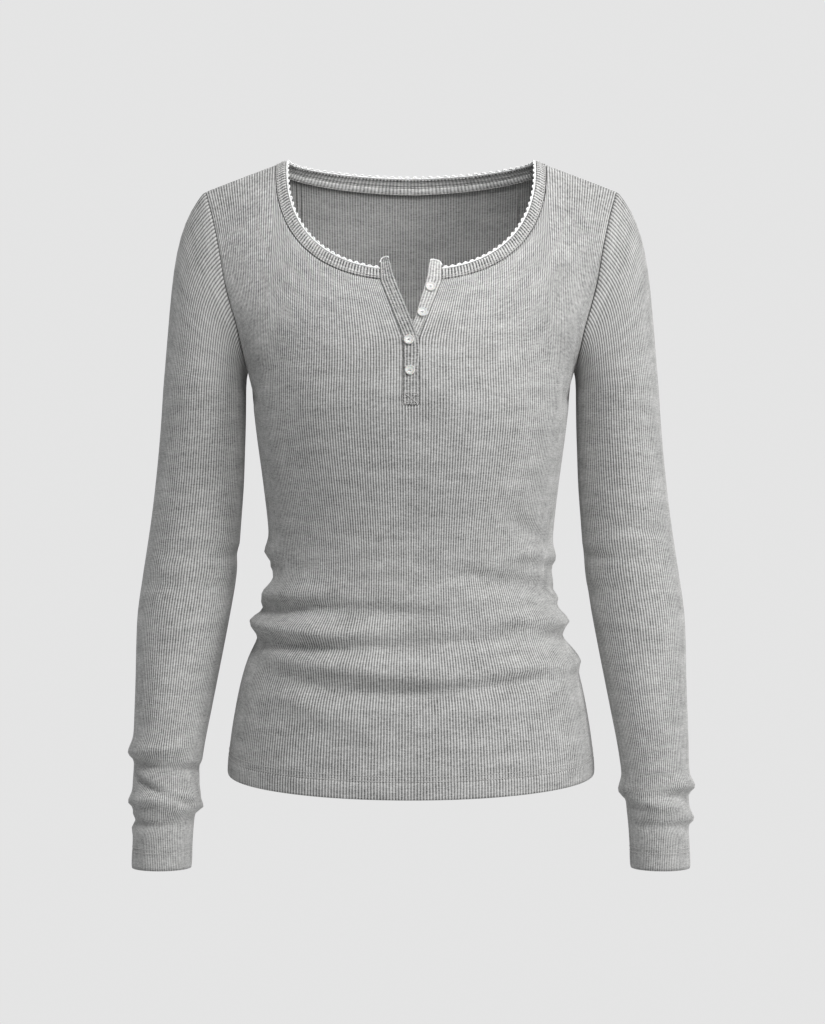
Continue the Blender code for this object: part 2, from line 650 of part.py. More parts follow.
def sleeve(name, side, folds):
    """A sleeve's wall; side is 1 for the wearer's left (+X) and -1 for the right."""
    heads = list(SLEEVE_HEAD_RINGS)
    span = SLEEVE[-1][0] - SLEEVE[0][0]
    downs = heads + [1 + (z - SLEEVE[0][0]) / span for z in SLEEVE_ROW_Z]
    outer_us = [QUARTERS * k / (2 * SLEEVE_RIBS) for k in range(2 * SLEEVE_RIBS)]
    inner_us = [QUARTERS * k / INSIDE_SLEEVE_COLUMNS for k in range(INSIDE_SLEEVE_COLUMNS)]

    def wall_point(around, down, lift):
        point = sleeve_point(around, down)
        if down == 0:
            facing = -1 if around <= 2 else 1
            share = around / 2 if facing < 0 else (QUARTERS - around) / 2
            normal = along_chords(share, lambda row: armhole_normal(row, facing, of_panel=False))
        else:
            step = 0.01
            tangent = sleeve_point(around + step, down) - sleeve_point(around - step, down)
            fall = sleeve_point(around, min(down + step, 2)) - sleeve_point(around, max(down - step, 0))
            normal = unit(np.cross(fall, tangent))
        return point + normal * (lift + fold_offset(folds, around, point[2]))

    verts, faces = [], []
    for us, ribbed in ((outer_us, True), (inner_us, False)):
        faces += grid_faces(us, downs, len(verts), None, wrap=True)
        for row, down in enumerate(downs):
            for k, around in enumerate(us):
                crest = ribbed and k % 2 == 1 and 0 < row < len(downs) - 1
                lift = (RIB_HEIGHT if crest else 0.0) if ribbed else -WALL
                verts.append(wall_point(around, down, lift) * np.array([side, 1, 1]))
    first_inside = len(outer_us) * len(downs)
    for row in (0, len(downs) - 1):
        outside = [(k / len(outer_us), row * len(outer_us) + k % len(outer_us))
                   for k in range(len(outer_us) + 1)]
        inside = [(k / len(inner_us), first_inside + row * len(inner_us) + k % len(inner_us))
                  for k in range(len(inner_us) + 1)]
        faces += stitch(outside, inside)
    return add_mesh(name, verts, faces, KNIT)


# ---- strips that lie on the body surface --------------------------------------------------------
def on_body(x, z, facing, lift):
    """A point on the body surface at x and z, moved out by lift."""

    def surface(u, v):
        return np.array([u, facing * body_depth(u, v, facing), v])

    step = 0.001
    across = surface(x + step, z) - surface(x - step, z)
    along = surface(x, z + step) - surface(x, z - step)
    normal = unit(np.cross(across, along)) * -facing
    return surface(x, z) + normal * lift


def tube_faces(stations, sides):
    """Faces of a closed prism swept through stations of so many corners each."""
    faces = [tuple(range(sides)), tuple(range((stations - 1) * sides, stations * sides))]
    for k in range(stations - 1):
        for c in range(sides):
            a = k * sides + c
            b = k * sides + (c + 1) % sides
            faces.append((a, b, b + sides, a + sides))
    return faces


def placket_strip(name, table, side):
    """One placket band from its foot to its rounded top; side is the side it is sewn to."""
    verts = []
    for z, free, lift in table:
        sewn = side * (slit_x(z) - STRIP_EASE - (STRIP_TOP_ROUNDING if z == table[-1][0] else 0.0))
        for x, height in ((sewn, lift), (free, lift), (free, lift - WALL), (sewn, lift - WALL)):
            verts.append(on_body(x, z, -1, height))
    return add_mesh(name, verts, tube_faces(len(table), 4), KNIT)


def neck_place(turn, out):
    """A point of the neck; turn is 0 at the centre back, 1 at a high neck point, towards 2 in front."""
    half_width = NECK_HALF_WIDTH + out
    quarter = math.sin(min(abs(turn), 2 - abs(turn)) * math.pi / 2)
    facing = 1 if abs(turn) <= 1 else -1
    x = math.copysign(half_width * quarter ** (2 / neck_roundness(facing)), turn)
    x, z = neck_edge(out, x, facing)
    return np.array([x, facing * body_depth(x, z, facing), z])


def neck_path(out, count):
    """Points round the neck from one side of the placket to the other, closer where it bends."""
    end_sine = (NECK_END_X / (NECK_HALF_WIDTH + out)) ** (FRONT_NECK_ROUNDNESS / 2)
    end = 2 - math.asin(end_sine) * 2 / math.pi
    turns = np.linspace(-end, end, 641)
    fine = np.array([neck_place(turn, out) for turn in turns])
    steps = np.diff(fine, axis=0)
    lengths = np.linalg.norm(steps, axis=1)
    ways = steps / lengths[:, None]
    bends = np.linalg.norm(np.diff(ways, axis=0, prepend=ways[:1]), axis=1)
    measure = np.concatenate(([0.0], np.cumsum(lengths + NECK_BEND_WEIGHT * bends)))
    wanted = np.linspace(0, measure[-1], count)
    return np.array([np.interp(wanted, measure, fine[:, axis]) for axis in range(3)]).T


def neck_frames(count):
    """At stations round the neck: the free edge, the sewn edge, the way out and the way up."""
    free = neck_path(BAND_FREE_OUT, count)
    sewn = neck_path(BAND_SEWN_OUT, count)
    for k in range(count):
        tangent = free[min(k + 1, count - 1)] - free[max(k - 1, 0)]
        up = unit(free[k] - sewn[k])
        yield free[k], sewn[k], unit(np.cross(up, tangent)), up


def neckband():
    """The band of cross-cut rib round the neck, lying in the body's surface."""
    verts = []
    for free, sewn, out, up in neck_frames(BAND_STATIONS):
        low = sewn + up * BAND_EASE * (1 + abs(out[2]))
        verts += [low, free, free - out * WALL, low - out * WALL]
    return add_mesh("neckband", verts, tube_faces(BAND_STATIONS, 4), KNIT)


def picot_edging():
    """The white scalloped edge that stands on the band's free edge."""
    frames = list(neck_frames(BAND_STATIONS))
    steps = 2 * PICOTS_PER_STATION
    stations = (BAND_STATIONS - 1) * steps + 1
    verts = []
    for k in range(stations):
        i = min(k // steps, BAND_STATIONS - 2)
        t = k / steps - i
        free, _, out, up = (a * (1 - t) + b * t for a, b in zip(frames[i], frames[i + 1]))
        foot = free + up * SEAM_GAP - out * WALL / 2
        rise = PICOT_CREST if k % 2 else PICOT_VALLEY
        verts += [foot + out * PICOT_WIDTH / 2, foot + up * rise, foot - out * PICOT_WIDTH / 2]
    return add_mesh("picot_edging", verts, tube_faces(stations, 3), WHITE_TRIM)


# ---- buttons ------------------------------------------------------------------------------------
def button(name, x, z, strip):
    """A small dished button, turned about its own axis and laid on its strip."""
    lift = smooth(strip, STRIP_COLUMNS, z, "lift") + SEAM_GAP
    top = BUTTON_HEIGHT - BUTTON_DISH
    profile = (
        (0.0, top),
        (BUTTON_RADIUS - BUTTON_RIM - BUTTON_DISH / 2, top),
        (BUTTON_RADIUS - BUTTON_RIM, BUTTON_HEIGHT),
        (BUTTON_RADIUS - BUTTON_RIM / 3, BUTTON_HEIGHT),
        (BUTTON_RADIUS, BUTTON_HEIGHT / 2),
        (BUTTON_RADIUS - BUTTON_RIM, 0.0),
        (0.0, 0.0),
    )
    mesh = bpy.data.meshes.new(name)
    edges = [(k, k + 1) for k in range(len(profile) - 1)]
    mesh.from_pydata([(radius, 0.0, height) for radius, height in profile], edges, [])
    mesh.materials.append(BUTTON_RESIN)
    piece = bpy.data.objects.new(name, mesh)
    SHIRT.objects.link(piece)
    base = on_body(x, z, -1, lift)
    facing = Vector(on_body(x, z, -1, lift + BUTTON_HEIGHT) - base)
    piece.location = base
    piece.rotation_euler = facing.to_track_quat("Z", "Y").to_euler()
    turn = piece.modifiers.new("turned", "SCREW")
    turn.steps = turn.render_steps = BUTTON_SIDES
    turn.use_merge_vertices = True
    turn.merge_threshold = 0.00001
    return piece


# ---- the shirt ----------------------------------------------------------------------------------
def material(name, colour, roughness):
    """A plain Principled material."""
    made = bpy.data.materials.new(name)
    made.use_nodes = True
    shader = made.node_tree.nodes["Principled BSDF"]
    shader.inputs["Base Color"].default_value = (*colour, 1.0)
    shader.inputs["Roughness"].default_value = roughness
    shader.inputs["Metallic"].default_value = 0.0
    return made


for old in list(bpy.data.objects):
    bpy.data.objects.remove(old, do_unlink=True)

SHIRT = bpy.data.collections.new("henley_shirt")
bpy.context.scene.collection.children.link(SHIRT)
KNIT = material("grey_rib_knit", (0.40, 0.40, 0.39), 0.95)
WHITE_TRIM = material("white_picot", (0.88, 0.88, 0.87), 0.85)
BUTTON_RESIN = material("button_white", (0.85, 0.85, 0.83), 0.35)


def mirrored(first, shares):
    """Columns over a whole panel from shares of its right half, which starts at a first column."""
    right = [first + (1.0 - first) * share for share in shares[:-1]] + [1.0]
    return [-share for share in reversed(right[0 if first else 1:])] + right


def even_shares(steps):
    return [k / steps for k in range(steps + 1)]


def with_middle(shares, steps):
    """The front's columns with those between the slit's edges, which show under the placket's foot."""
    half = len(shares) // 2
    between = [-SLIT_SHARE + 2 * SLIT_SHARE * k / steps for k in range(1, steps)]
    return shares[:half] + between + shares[half:]


def panel_rows(heights):
    """Rows of a panel as places up it, 0 to 1 under the armpits and 1 to 2 over them."""
    lower = [SLIT_FOOT_UP if z == PLACKET_FOOT_Z else up_of(z) for z in heights[1:-1]]
    return [0.0] + lower + [1.0 + row for row in ARMHOLE_ROWS]


front_columns = with_middle(mirrored(SLIT_SHARE, even_shares(2 * HALF_FRONT_RIBS)), 2 * PLACKET_RIBS)
front_inside = mirrored(SLIT_SHARE, INSIDE_SHARES)
body_panel("front", -1, front_columns, front_inside, panel_rows(FRONT_ROW_Z), slit=True)
back_columns = mirrored(0.0, even_shares(BACK_RIBS))
body_panel("back", 1, back_columns, mirrored(0.0, INSIDE_SHARES), panel_rows(BACK_ROW_Z), slit=False)
sleeve("sleeve_left", 1, SLEEVE_LEFT_FOLDS)
sleeve("sleeve_right", -1, SLEEVE_RIGHT_FOLDS)
neckband()
picot_edging()
placket_strip("placket_over", OVER_STRIP, -1)
placket_strip("placket_under", UNDER_STRIP, 1)
for number, (button_x, button_z) in enumerate(BUTTONS, start=1):
    button(f"button_{number}", button_x, button_z, UNDER_STRIP if number < 3 else OVER_STRIP)
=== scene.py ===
"""The looks of a long-sleeved henley shirt in grey melange rib knit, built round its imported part.

Metres, +Z up, front towards -Y, the wearer's left at +X, as in the part. The shirt is filled out as
if worn, with no one in it.
"""

import functools
import math

import bmesh
import bpy
import numpy as np
from mathutils import Matrix, Vector


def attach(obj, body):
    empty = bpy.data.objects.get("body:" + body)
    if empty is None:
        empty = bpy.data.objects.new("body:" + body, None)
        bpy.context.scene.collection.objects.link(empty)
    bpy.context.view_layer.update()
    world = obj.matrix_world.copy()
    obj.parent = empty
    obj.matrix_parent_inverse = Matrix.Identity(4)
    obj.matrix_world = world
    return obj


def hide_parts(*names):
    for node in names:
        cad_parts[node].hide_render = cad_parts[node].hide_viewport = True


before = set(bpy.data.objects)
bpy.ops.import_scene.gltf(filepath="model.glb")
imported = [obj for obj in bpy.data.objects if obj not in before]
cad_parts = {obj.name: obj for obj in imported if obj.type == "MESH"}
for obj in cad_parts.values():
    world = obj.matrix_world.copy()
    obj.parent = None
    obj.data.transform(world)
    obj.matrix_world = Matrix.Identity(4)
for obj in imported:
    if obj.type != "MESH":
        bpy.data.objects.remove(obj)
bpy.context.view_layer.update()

# ==== Front ======================================================================================
# One panel of fine rib knit, cut on the fold and slit at the neck for the placket. Its ribs run up
# from the hem, crowd towards the waist and fan out beside the slit. It hangs filled out, with slack
# pushed up into rolls above the hip.
RIB_PITCH = 0.0025         # of the real rib, at rest; the panels are knitted to it
RIB_HEIGHT = 0.00042
UNEVEN_RIBS = (0.80, 1.15)     # the lowest and the highest rib, as shares of that height
KNIT_WALL = 0.0013
HALF_FRONT_RIBS = 81       # from the slit to a side seam
PLACKET_RIBS = 6           # across the front under the foot of the placket
COLUMNS_PER_RIB = 3        # a groove and the two shoulders of a ridge
RIB_PROFILE = (0.0, 1.0, 1.0)
HAIR = 1e-6                # a length or a share that is too small to matter

BODY = (
    ("z", "half_width", "front", "back"),
    (-0.010, 0.240, 0.088, 0.074),
    (-0.063, 0.218, 0.093, 0.084),
    (-0.117, 0.188, 0.101, 0.093),
    (-0.153, 0.167, 0.111, 0.096),
    (-0.191, 0.1462, 0.1178, 0.094),
    (-0.215, 0.1422, 0.1205, 0.090),
    (-0.250, 0.1378, 0.1170, 0.083),
    (-0.293, 0.1320, 0.1080, 0.074),
    (-0.330, 0.1278, 0.0990, 0.068),
    (-0.362, 0.1256, 0.0955, 0.066),
    (-0.395, 0.1290, 0.0965, 0.069),
    (-0.430, 0.1400, 0.1005, 0.078),
    (-0.462, 0.1505, 0.1045, 0.089),
    (-0.500, 0.1585, 0.1075, 0.099),
    (-0.535, 0.1632, 0.1095, 0.105),
    (-0.570, 0.1650, 0.1105, 0.107),
)
SECTION_ROUNDNESS = 2.35
ARMPIT_Z = -0.191
HEM_SIDE_Z = -0.548
HEM_DIP = 0.0175           # how far the hem hangs down at the middle
HEM_SEAM_UP = 0.0152       # the hem's coverstitch, above the hem

# how deep the cloth turns in beside a sewn or a folded edge, and how far from it that starts
SEAM_DIP = (0.0009, 0.0030)
STITCH_DIP = (0.0005, 0.0022)
FOLDED_EDGE_DIP = (0.0005, 0.0040)
SLIT_DIP = (0.0006, 0.0009)
TURN_UP = 0.0003           # how far a turned-up edge stands out over the cloth folded behind it

SHOULDER_SLOPE = 0.41
SHOULDER_CREST_Z = 0.0514
SHOULDER_EASE = 0.060
SHOULDER_X = 0.185
DROP_AND_ROUNDNESS = {-1: (0.242, 1.42), 1: (0.200, 1.7)}    # front and back, below the shoulders
NECK_ROUNDNESS = {-1: 2.4, 1: 1.75}
NECK_HALF_WIDTH = 0.1100
NECK_DROP = {-1: 0.1030, 1: 0.0108}
BAND_FREE_OUT = 0.0026     # the band's free and sewn edges, out from the tips of the edging's loops
BAND_SEWN_OUT = 0.0118
NECK_COLUMNS_SHARE = 2 / 3     # of half a panel's ribs end at the neck, the rest at the shoulder
PLACKET_HALF_WIDTH = 0.0075
PLACKET_FOOT_Z = -0.2250
PLACKET_SPLIT_Z = -0.1670  # where the placket starts to stand open
V_HALF_WIDTH = 0.0268      # of the opening, at the neck
SLIT_SPREAD = 2.6          # how soon the fan of ribs beside the slit dies away
SLIT_EASE = 1.2            # how much softer that fan turns out at the far end of the neckline
ARMHOLE_PULL = 3           # the armhole's curve draws the ribs near it along, by this power
ARMHOLE_CROWDING = 1.8     # of the points of its curve, towards the armpit
ARMHOLE_POINTS = 241
GIRTH_HEIGHTS, GIRTH_SHARES, GIRTH_TURNS = 64, 401, 1201       # steps in the tables of even turns
ARMHOLE = (
    ("z", "x"),
    (-0.191, 0.1462),
    (-0.153, 0.1545),
    (-0.117, 0.1645),
    (-0.080, 0.1715),
    (-0.050, 0.1785),
    (-0.0284, 0.1850),
)

# Folds of the body: places round it in quarters from the centre front (2 is the centre back),
# heights, sag, how far the cloth stands out and the fold's soft half width. The main ones first,
# then the small creases that run off them and between them.
BODY_FOLDS = (
    (-1.75, -0.345, -0.62, -0.356, 0.000, 0.0056, 0.0085),
    (-1.50, -0.370, -0.75, -0.373, 0.000, -0.0042, 0.0080),
    (-1.80, -0.388, -0.28, -0.385, 0.010, 0.0088, 0.0100),
    (-1.35, -0.392, 0.40, -0.408, 0.000, -0.0046, 0.0085),
    (-1.70, -0.416, -0.05, -0.430, -0.004, 0.0096, 0.0090),
    (-1.25, -0.426, 0.78, -0.412, 0.015, -0.0056, 0.0085),
    (-0.92, -0.432, 0.35, -0.466, 0.004, 0.0056, 0.0095),
    (-0.88, -0.446, 0.88, -0.442, 0.029, -0.0048, 0.0080),
    (-0.60, -0.478, -0.10, -0.508, 0.000, 0.0026, 0.0120),
    (0.02, -0.364, 1.30, -0.392, 0.002, -0.0056, 0.0085),
    (0.35, -0.350, 1.50, -0.358, 0.004, 0.0044, 0.0090),
    (0.58, -0.390, 1.75, -0.398, 0.000, 0.0066, 0.0090),
    (0.30, -0.408, 1.60, -0.406, 0.010, 0.0070, 0.0095),
    (0.55, -0.424, 1.45, -0.424, 0.000, -0.0040, 0.0080),
    (0.10, -0.456, 1.55, -0.438, 0.006, 0.0050, 0.0095),
    (0.42, -0.318, 0.88, -0.352, 0.000, -0.0032, 0.0120),
    (1.35, -0.366, 2.65, -0.362, -0.006, 0.0052, 0.0110),
    (1.25, -0.386, 2.60, -0.390, -0.004, -0.0022, 0.0095),
    (1.40, -0.414, 2.70, -0.410, -0.008, 0.0048, 0.0110),
    (-1.06, -0.200, -0.70, -0.224, 0.000, -0.0030, 0.0080),
    (0.70, -0.222, 1.06, -0.198, 0.000, -0.0034, 0.0080),
)
SMALL_CREASES = (
    (-0.98, -0.364, -0.66, -0.380, 0.000, 0.0010, 0.0032),
    (-0.90, -0.402, -0.52, -0.398, 0.003, -0.0012, 0.0030),
    (-0.74, -0.448, -0.28, -0.444, 0.006, 0.0011, 0.0034),
    (-0.44, -0.422, 0.16, -0.424, 0.004, -0.0010, 0.0036),
    (0.20, -0.392, 0.72, -0.400, 0.002, 0.0010, 0.0034),
    (0.62, -0.390, 0.98, -0.384, 0.000, -0.0012, 0.0030),
    (0.66, -0.440, 0.96, -0.430, 0.000, 0.0010, 0.0030),
    (-0.30, -0.486, 0.50, -0.478, 0.010, 0.0008, 0.0050),
    (0.55, -0.236, 0.90, -0.222, 0.000, 0.0010, 0.0045),
    (-0.92, -0.224, -0.62, -0.240, 0.000, 0.0009, 0.0045),
    (1.10, -0.350, 1.60, -0.342, 0.000, 0.0009, 0.0036),
    (1.45, -0.396, 2.10, -0.400, 0.003, 0.0010, 0.0036),
    (1.90, -0.380, 2.55, -0.374, 0.004, -0.0010, 0.0036),
    (2.30, -0.402, 2.95, -0.410, 0.000, 0.0011, 0.0034),
    (1.30, -0.430, 1.80, -0.428, 0.002, 0.0009, 0.0036),
    (2.20, -0.432, 2.80, -0.424, 0.004, 0.0008, 0.0040),
)
QUARTERS = 4
FOLD_ENDS = 0.3
OVER_FOLD, UNDER_FOLD = 1.22, 0.58     # a roll slopes gently above and turns in sharply beneath


def smooth(table, at, name):
    """A named column of a table read at heights, along a smooth curve through its rows."""
    names, *rows = table
    rows = np.array(sorted(rows))
    heights, values = rows[:, 0], rows[:, names.index(name)]
    slopes = np.gradient(values, heights)
    at = np.clip(at, heights[0], heights[-1])
    i = np.clip(np.searchsorted(heights, at, side="right") - 1, 0, len(heights) - 2)
    span = heights[i + 1] - heights[i]
    t = (at - heights[i]) / span
    return (
        (2 * t**3 - 3 * t**2 + 1) * values[i]
        + (t**3 - 2 * t**2 + t) * span * slopes[i]
        + (3 * t**2 - 2 * t**3) * values[i + 1]
        + (t**3 - t**2) * span * slopes[i + 1]
    )


def smoothstep(value):
    value = np.clip(value, 0.0, 1.0)
    return value * value * (3 - 2 * value)


def distances(points, axis=0):
    """How far each point lies along its line; axis is the way the lines run in a grid of points."""
    steps = np.linalg.norm(np.diff(points, axis=axis), axis=-1)
    return np.insert(np.cumsum(steps, axis=axis), 0, 0.0, axis=axis)


def shoulder_line(x):
    """Height of the shoulder seam, carried on over the neck."""
    return SHOULDER_CREST_Z - SHOULDER_SLOPE * np.hypot(x, SHOULDER_EASE)


def fullness(x, z, facing):
    """The depth of the body at its middle, drawn in towards the shoulder line."""
    drop, roundness = DROP_AND_ROUNDNESS[facing]
    below = np.clip((shoulder_line(x) - z) / drop, 0.0, 1.0)
    depth = smooth(BODY, z, "front" if facing < 0 else "back")
    return depth * (1 - (1 - below) ** roundness) ** (1 / roundness)


def body_point(x, z, facing):
    """Points of the filled-out body at x and z; facing is -1 for the front and 1 for the back."""
    across = np.clip(np.abs(x) / smooth(BODY, z, "half_width"), 0.0, 1.0)
    section = (1 - across**SECTION_ROUNDNESS) ** (1 / SECTION_ROUNDNESS)
    x, z = np.broadcast_arrays(x, z)
    return np.stack([x, facing * fullness(x, z, facing) * section, z], axis=-1)


def section_point(turn, z, facing):
    """Points of a section at a turn of -90 to 90 degrees, exact at the side seams."""
    half_width = smooth(BODY, z, "half_width")
    x = half_width * np.sign(turn) * np.abs(np.sin(turn)) ** (2 / SECTION_ROUNDNESS)
    section = np.abs(np.cos(turn)) ** (2 / SECTION_ROUNDNESS)
    return np.stack([x, facing * fullness(x, z, facing) * section, z + 0 * x], axis=-1)


@functools.lru_cache(maxsize=None)
def even_turns(facing):
    """For a stack of heights, the turns that part a section's girth evenly."""
    heights = np.linspace(HEM_SIDE_Z - HEM_DIP, ARMPIT_Z, GIRTH_HEIGHTS)
    shares = np.linspace(-1, 1, GIRTH_SHARES)
    turns = np.linspace(-math.pi / 2, math.pi / 2, GIRTH_TURNS)
    table = []
    for z in heights:
        arcs = distances(section_point(turns, z, facing))
        table.append(np.interp((shares + 1) / 2 * arcs[-1], arcs, turns))
    return heights, shares, np.array(table)


def girth_turn(z, share, facing):
    """The turn at a share, -1 to 1, of the panel's girth at a height."""
    heights, shares, table = even_turns(facing)
    z, share = np.broadcast_arrays(z, share)
    row = np.clip((z - heights[0]) / (heights[1] - heights[0]), 0, len(heights) - 1.001)
    place = np.clip((share - shares[0]) / (shares[1] - shares[0]), 0, len(shares) - 1.00001)
    i, j = row.astype(int), place.astype(int)
    s, t = row - i, place - j
    low = table[i, j] * (1 - t) + table[i, j + 1] * t
    high = table[i + 1, j] * (1 - t) + table[i + 1, j + 1] * t
    return low * (1 - s) + high * s


def neck_edge(out, x, facing):
    """The neckline's height at x, moved out by a distance from the tips of the edging."""
    half_width = NECK_HALF_WIDTH + out
    side_z = shoulder_line(half_width)
    across = np.clip(np.abs(x) / half_width, 0.0, 1.0)
    curve = (1 - across**NECK_ROUNDNESS[facing]) ** (1 / NECK_ROUNDNESS[facing])
    return side_z - (NECK_DROP[facing] + out + side_z) * curve


def slit_x(z, ease=0.0):
    """Half width of the placket's slit at a height; ease rounds the corner where it opens."""
    rise = neck_edge(BAND_SEWN_OUT, 0.0, -1) - PLACKET_SPLIT_Z
    bends = [up + np.hypot(up, ease) for up in ((z - PLACKET_SPLIT_Z) / rise, 1.0,
                                                (ARMPIT_Z - PLACKET_SPLIT_Z) / rise)]
    opened = (bends[0] - bends[2]) / (bends[1] - bends[2])
    return PLACKET_HALF_WIDTH + (V_HALF_WIDTH - PLACKET_HALF_WIDTH) * np.clip(opened, 0.0, 1.0)


@functools.lru_cache(maxsize=None)
def armhole_curve(facing):
    """Half of the left armhole, from the armpit to the shoulder, with its shares of length."""
    top = shoulder_line(SHOULDER_X)
    z = ARMPIT_Z + (top - ARMPIT_Z) * np.linspace(0, 1, ARMHOLE_POINTS) ** ARMHOLE_CROWDING
    points = body_point(smooth(ARMHOLE, z, "x"), z, facing)
    points[[0, -1], 1] = 0.0
    arcs = distances(points)
    return points, arcs / arcs[-1]


def armhole_point(share, facing):
    """Points at shares of the way up the left armhole."""
    points, arcs = armhole_curve(facing)
    return np.stack([np.interp(share, arcs, points[:, axis]) for axis in range(3)], axis=-1)


def slit_share():
    """The share of the front's girth at the placket's half width."""
    turns = even_turns(-1)
    xs = section_point(turns[2][-1], ARMPIT_Z, -1)[:, 0]
    return float(np.interp(PLACKET_HALF_WIDTH, xs, turns[1]))


SLIT_SHARE = slit_share()


def panel_points(shares, ups, facing):
    """The smooth panel as rows of points: ups are 0 to 1 from hem to armpit, then 1 to 2."""
    share, up = np.meshgrid(shares, ups)
    first, first_x = (SLIT_SHARE, V_HALF_WIDTH) if facing < 0 else (0.0, 0.0)
    corner = first + (1 - first) * NECK_COLUMNS_SHARE
    side, reach, rise = np.sign(share), np.abs(share), np.clip(up - 1, 0, 1)
    hem = HEM_SIDE_Z - HEM_DIP * (1 - share**2)
    z = hem + (ARMPIT_Z - hem) * np.clip(up, 0, 1)
    turn = np.where(reach == 1, side * math.pi / 2, girth_turn(z, share, facing))
    lower = section_point(turn, z, facing)

    neck_x = NECK_HALF_WIDTH + BAND_SEWN_OUT
    at_armpit = section_point(girth_turn(ARMPIT_Z, share, facing), ARMPIT_Z, facing)[..., 0]
    below, below_first, below_corner = (
        section_point(girth_turn(ARMPIT_Z, np.array(place), facing), ARMPIT_Z, facing)[..., 0]
        for place in (reach, first, corner)
    )
    shoulder_x = neck_x + (SHOULDER_X - neck_x) * np.clip(reach - corner, 0, 1) / (1 - corner)
    near = 1 - np.clip(below - below_first, 0, 1) / (below_corner - below_first)
    spread = np.clip(near, 0, 1) ** SLIT_SPREAD
    neckline_x = below + (first_x - below_first) * spread + (neck_x - below_corner) * (1 - near) ** 2
    on_shoulder = reach > corner - HAIR
    high_x = side * np.where(on_shoulder, shoulder_x, neckline_x)
    high_z = np.where(on_shoulder, shoulder_line(shoulder_x), neck_edge(BAND_SEWN_OUT, neckline_x, facing))
    edge = armhole_point(rise, facing)
    straight_x = smooth(ARMHOLE, ARMPIT_Z, "x") * (1 - rise) + SHOULDER_X * rise
    straight_z = ARMPIT_Z * (1 - rise) + shoulder_line(SHOULDER_X) * rise
    pull = reach**ARMHOLE_PULL
    x = at_armpit + (high_x - at_armpit) * rise + side * pull * (edge[..., 0] - straight_x)
    z = ARMPIT_Z + (high_z - ARMPIT_Z) * rise + pull * (edge[..., 2] - straight_z)
    if facing < 0:
        plain = PLACKET_HALF_WIDTH + (V_HALF_WIDTH - PLACKET_HALF_WIDTH) * rise
        eased = slit_x(z, SLIT_EASE * np.clip(1 - near, 0, 1))
        x = x + side * spread * (reach >= first - HAIR) * (eased - plain)
    upper = body_point(x, z, facing)
    at_edge = (reach == 1)[..., None]
    upper = np.where(at_edge, edge * np.stack([side, 0 * side + 1, 0 * side + 1], axis=-1), upper)
    return np.where((up > 1)[..., None], upper, lower)


def outward(points, sign, closed=False):
    """The way a grid of points faces, from its neighbours along both of its directions."""
    along = np.gradient(points, axis=0)
    if closed:
        across = np.roll(points, -1, axis=1) - np.roll(points, 1, axis=1)
    else:
        across = np.gradient(points, axis=1)
    normal = np.cross(along, across) * sign
    return normal / np.maximum(np.linalg.norm(normal, axis=-1, keepdims=True), 1e-12)


def fold_offset(folds, around, z):
    """How far the folds move the cloth out at each place."""
    total = np.zeros(np.broadcast(around, z).shape)
    for start, z_start, end, z_end, sag, height, half_width in folds:
        for turned in (-QUARTERS, 0, QUARTERS):
            share = (around + turned - start) / (end - start)
            inside = (share > 0) & (share < 1)
            share = np.clip(share, 0, 1)
            middle = z_start + (z_end - z_start) * share - sag * np.sin(math.pi * share)
            ends = np.minimum(smoothstep(share / FOLD_ENDS), smoothstep((1 - share) / FOLD_ENDS))
            skew = np.where((z > middle) == (height > 0), OVER_FOLD, UNDER_FOLD)
            total += inside * height * ends * np.exp(-(((z - middle) / (half_width * skew)) ** 2))
    return total


def rib_lifts(ribs, seed):
    """The rib profile over a piece's columns, each rib a little higher or lower than the next."""
    rng = np.random.default_rng(seed)
    heights = np.repeat(rng.uniform(*UNEVEN_RIBS, ribs), COLUMNS_PER_RIB)
    return RIB_HEIGHT * np.append(np.tile(RIB_PROFILE, ribs) * heights, 0.0)


def edge_dip(distance, dip=SEAM_DIP):
    """How far cloth turns in at a distance from a sewn or folded edge."""
    depth, reach = dip
    return -depth * np.clip(1 - distance / reach, 0, 1) ** 2


def turned_up(distance, seam_up, dip=STITCH_DIP):
    """How a turned-up edge moves the cloth: out as far as its row of stitches, in along them."""
    lift = edge_dip(np.abs(distance - seam_up), dip) + edge_dip(distance, FOLDED_EDGE_DIP)
    return lift + TURN_UP * (distance < seam_up)


def placed(name, data):
    """A new object in the scene for a mesh, a curve, a light or a camera."""
    made = bpy.data.objects.new(name, data)
    bpy.context.scene.collection.objects.link(made)
    return made


def shaped(name, shape):
    """A finished bmesh as a new object."""
    mesh = bpy.data.meshes.new(name)
    shape.to_mesh(mesh)
    shape.free()
    return placed(name, mesh)


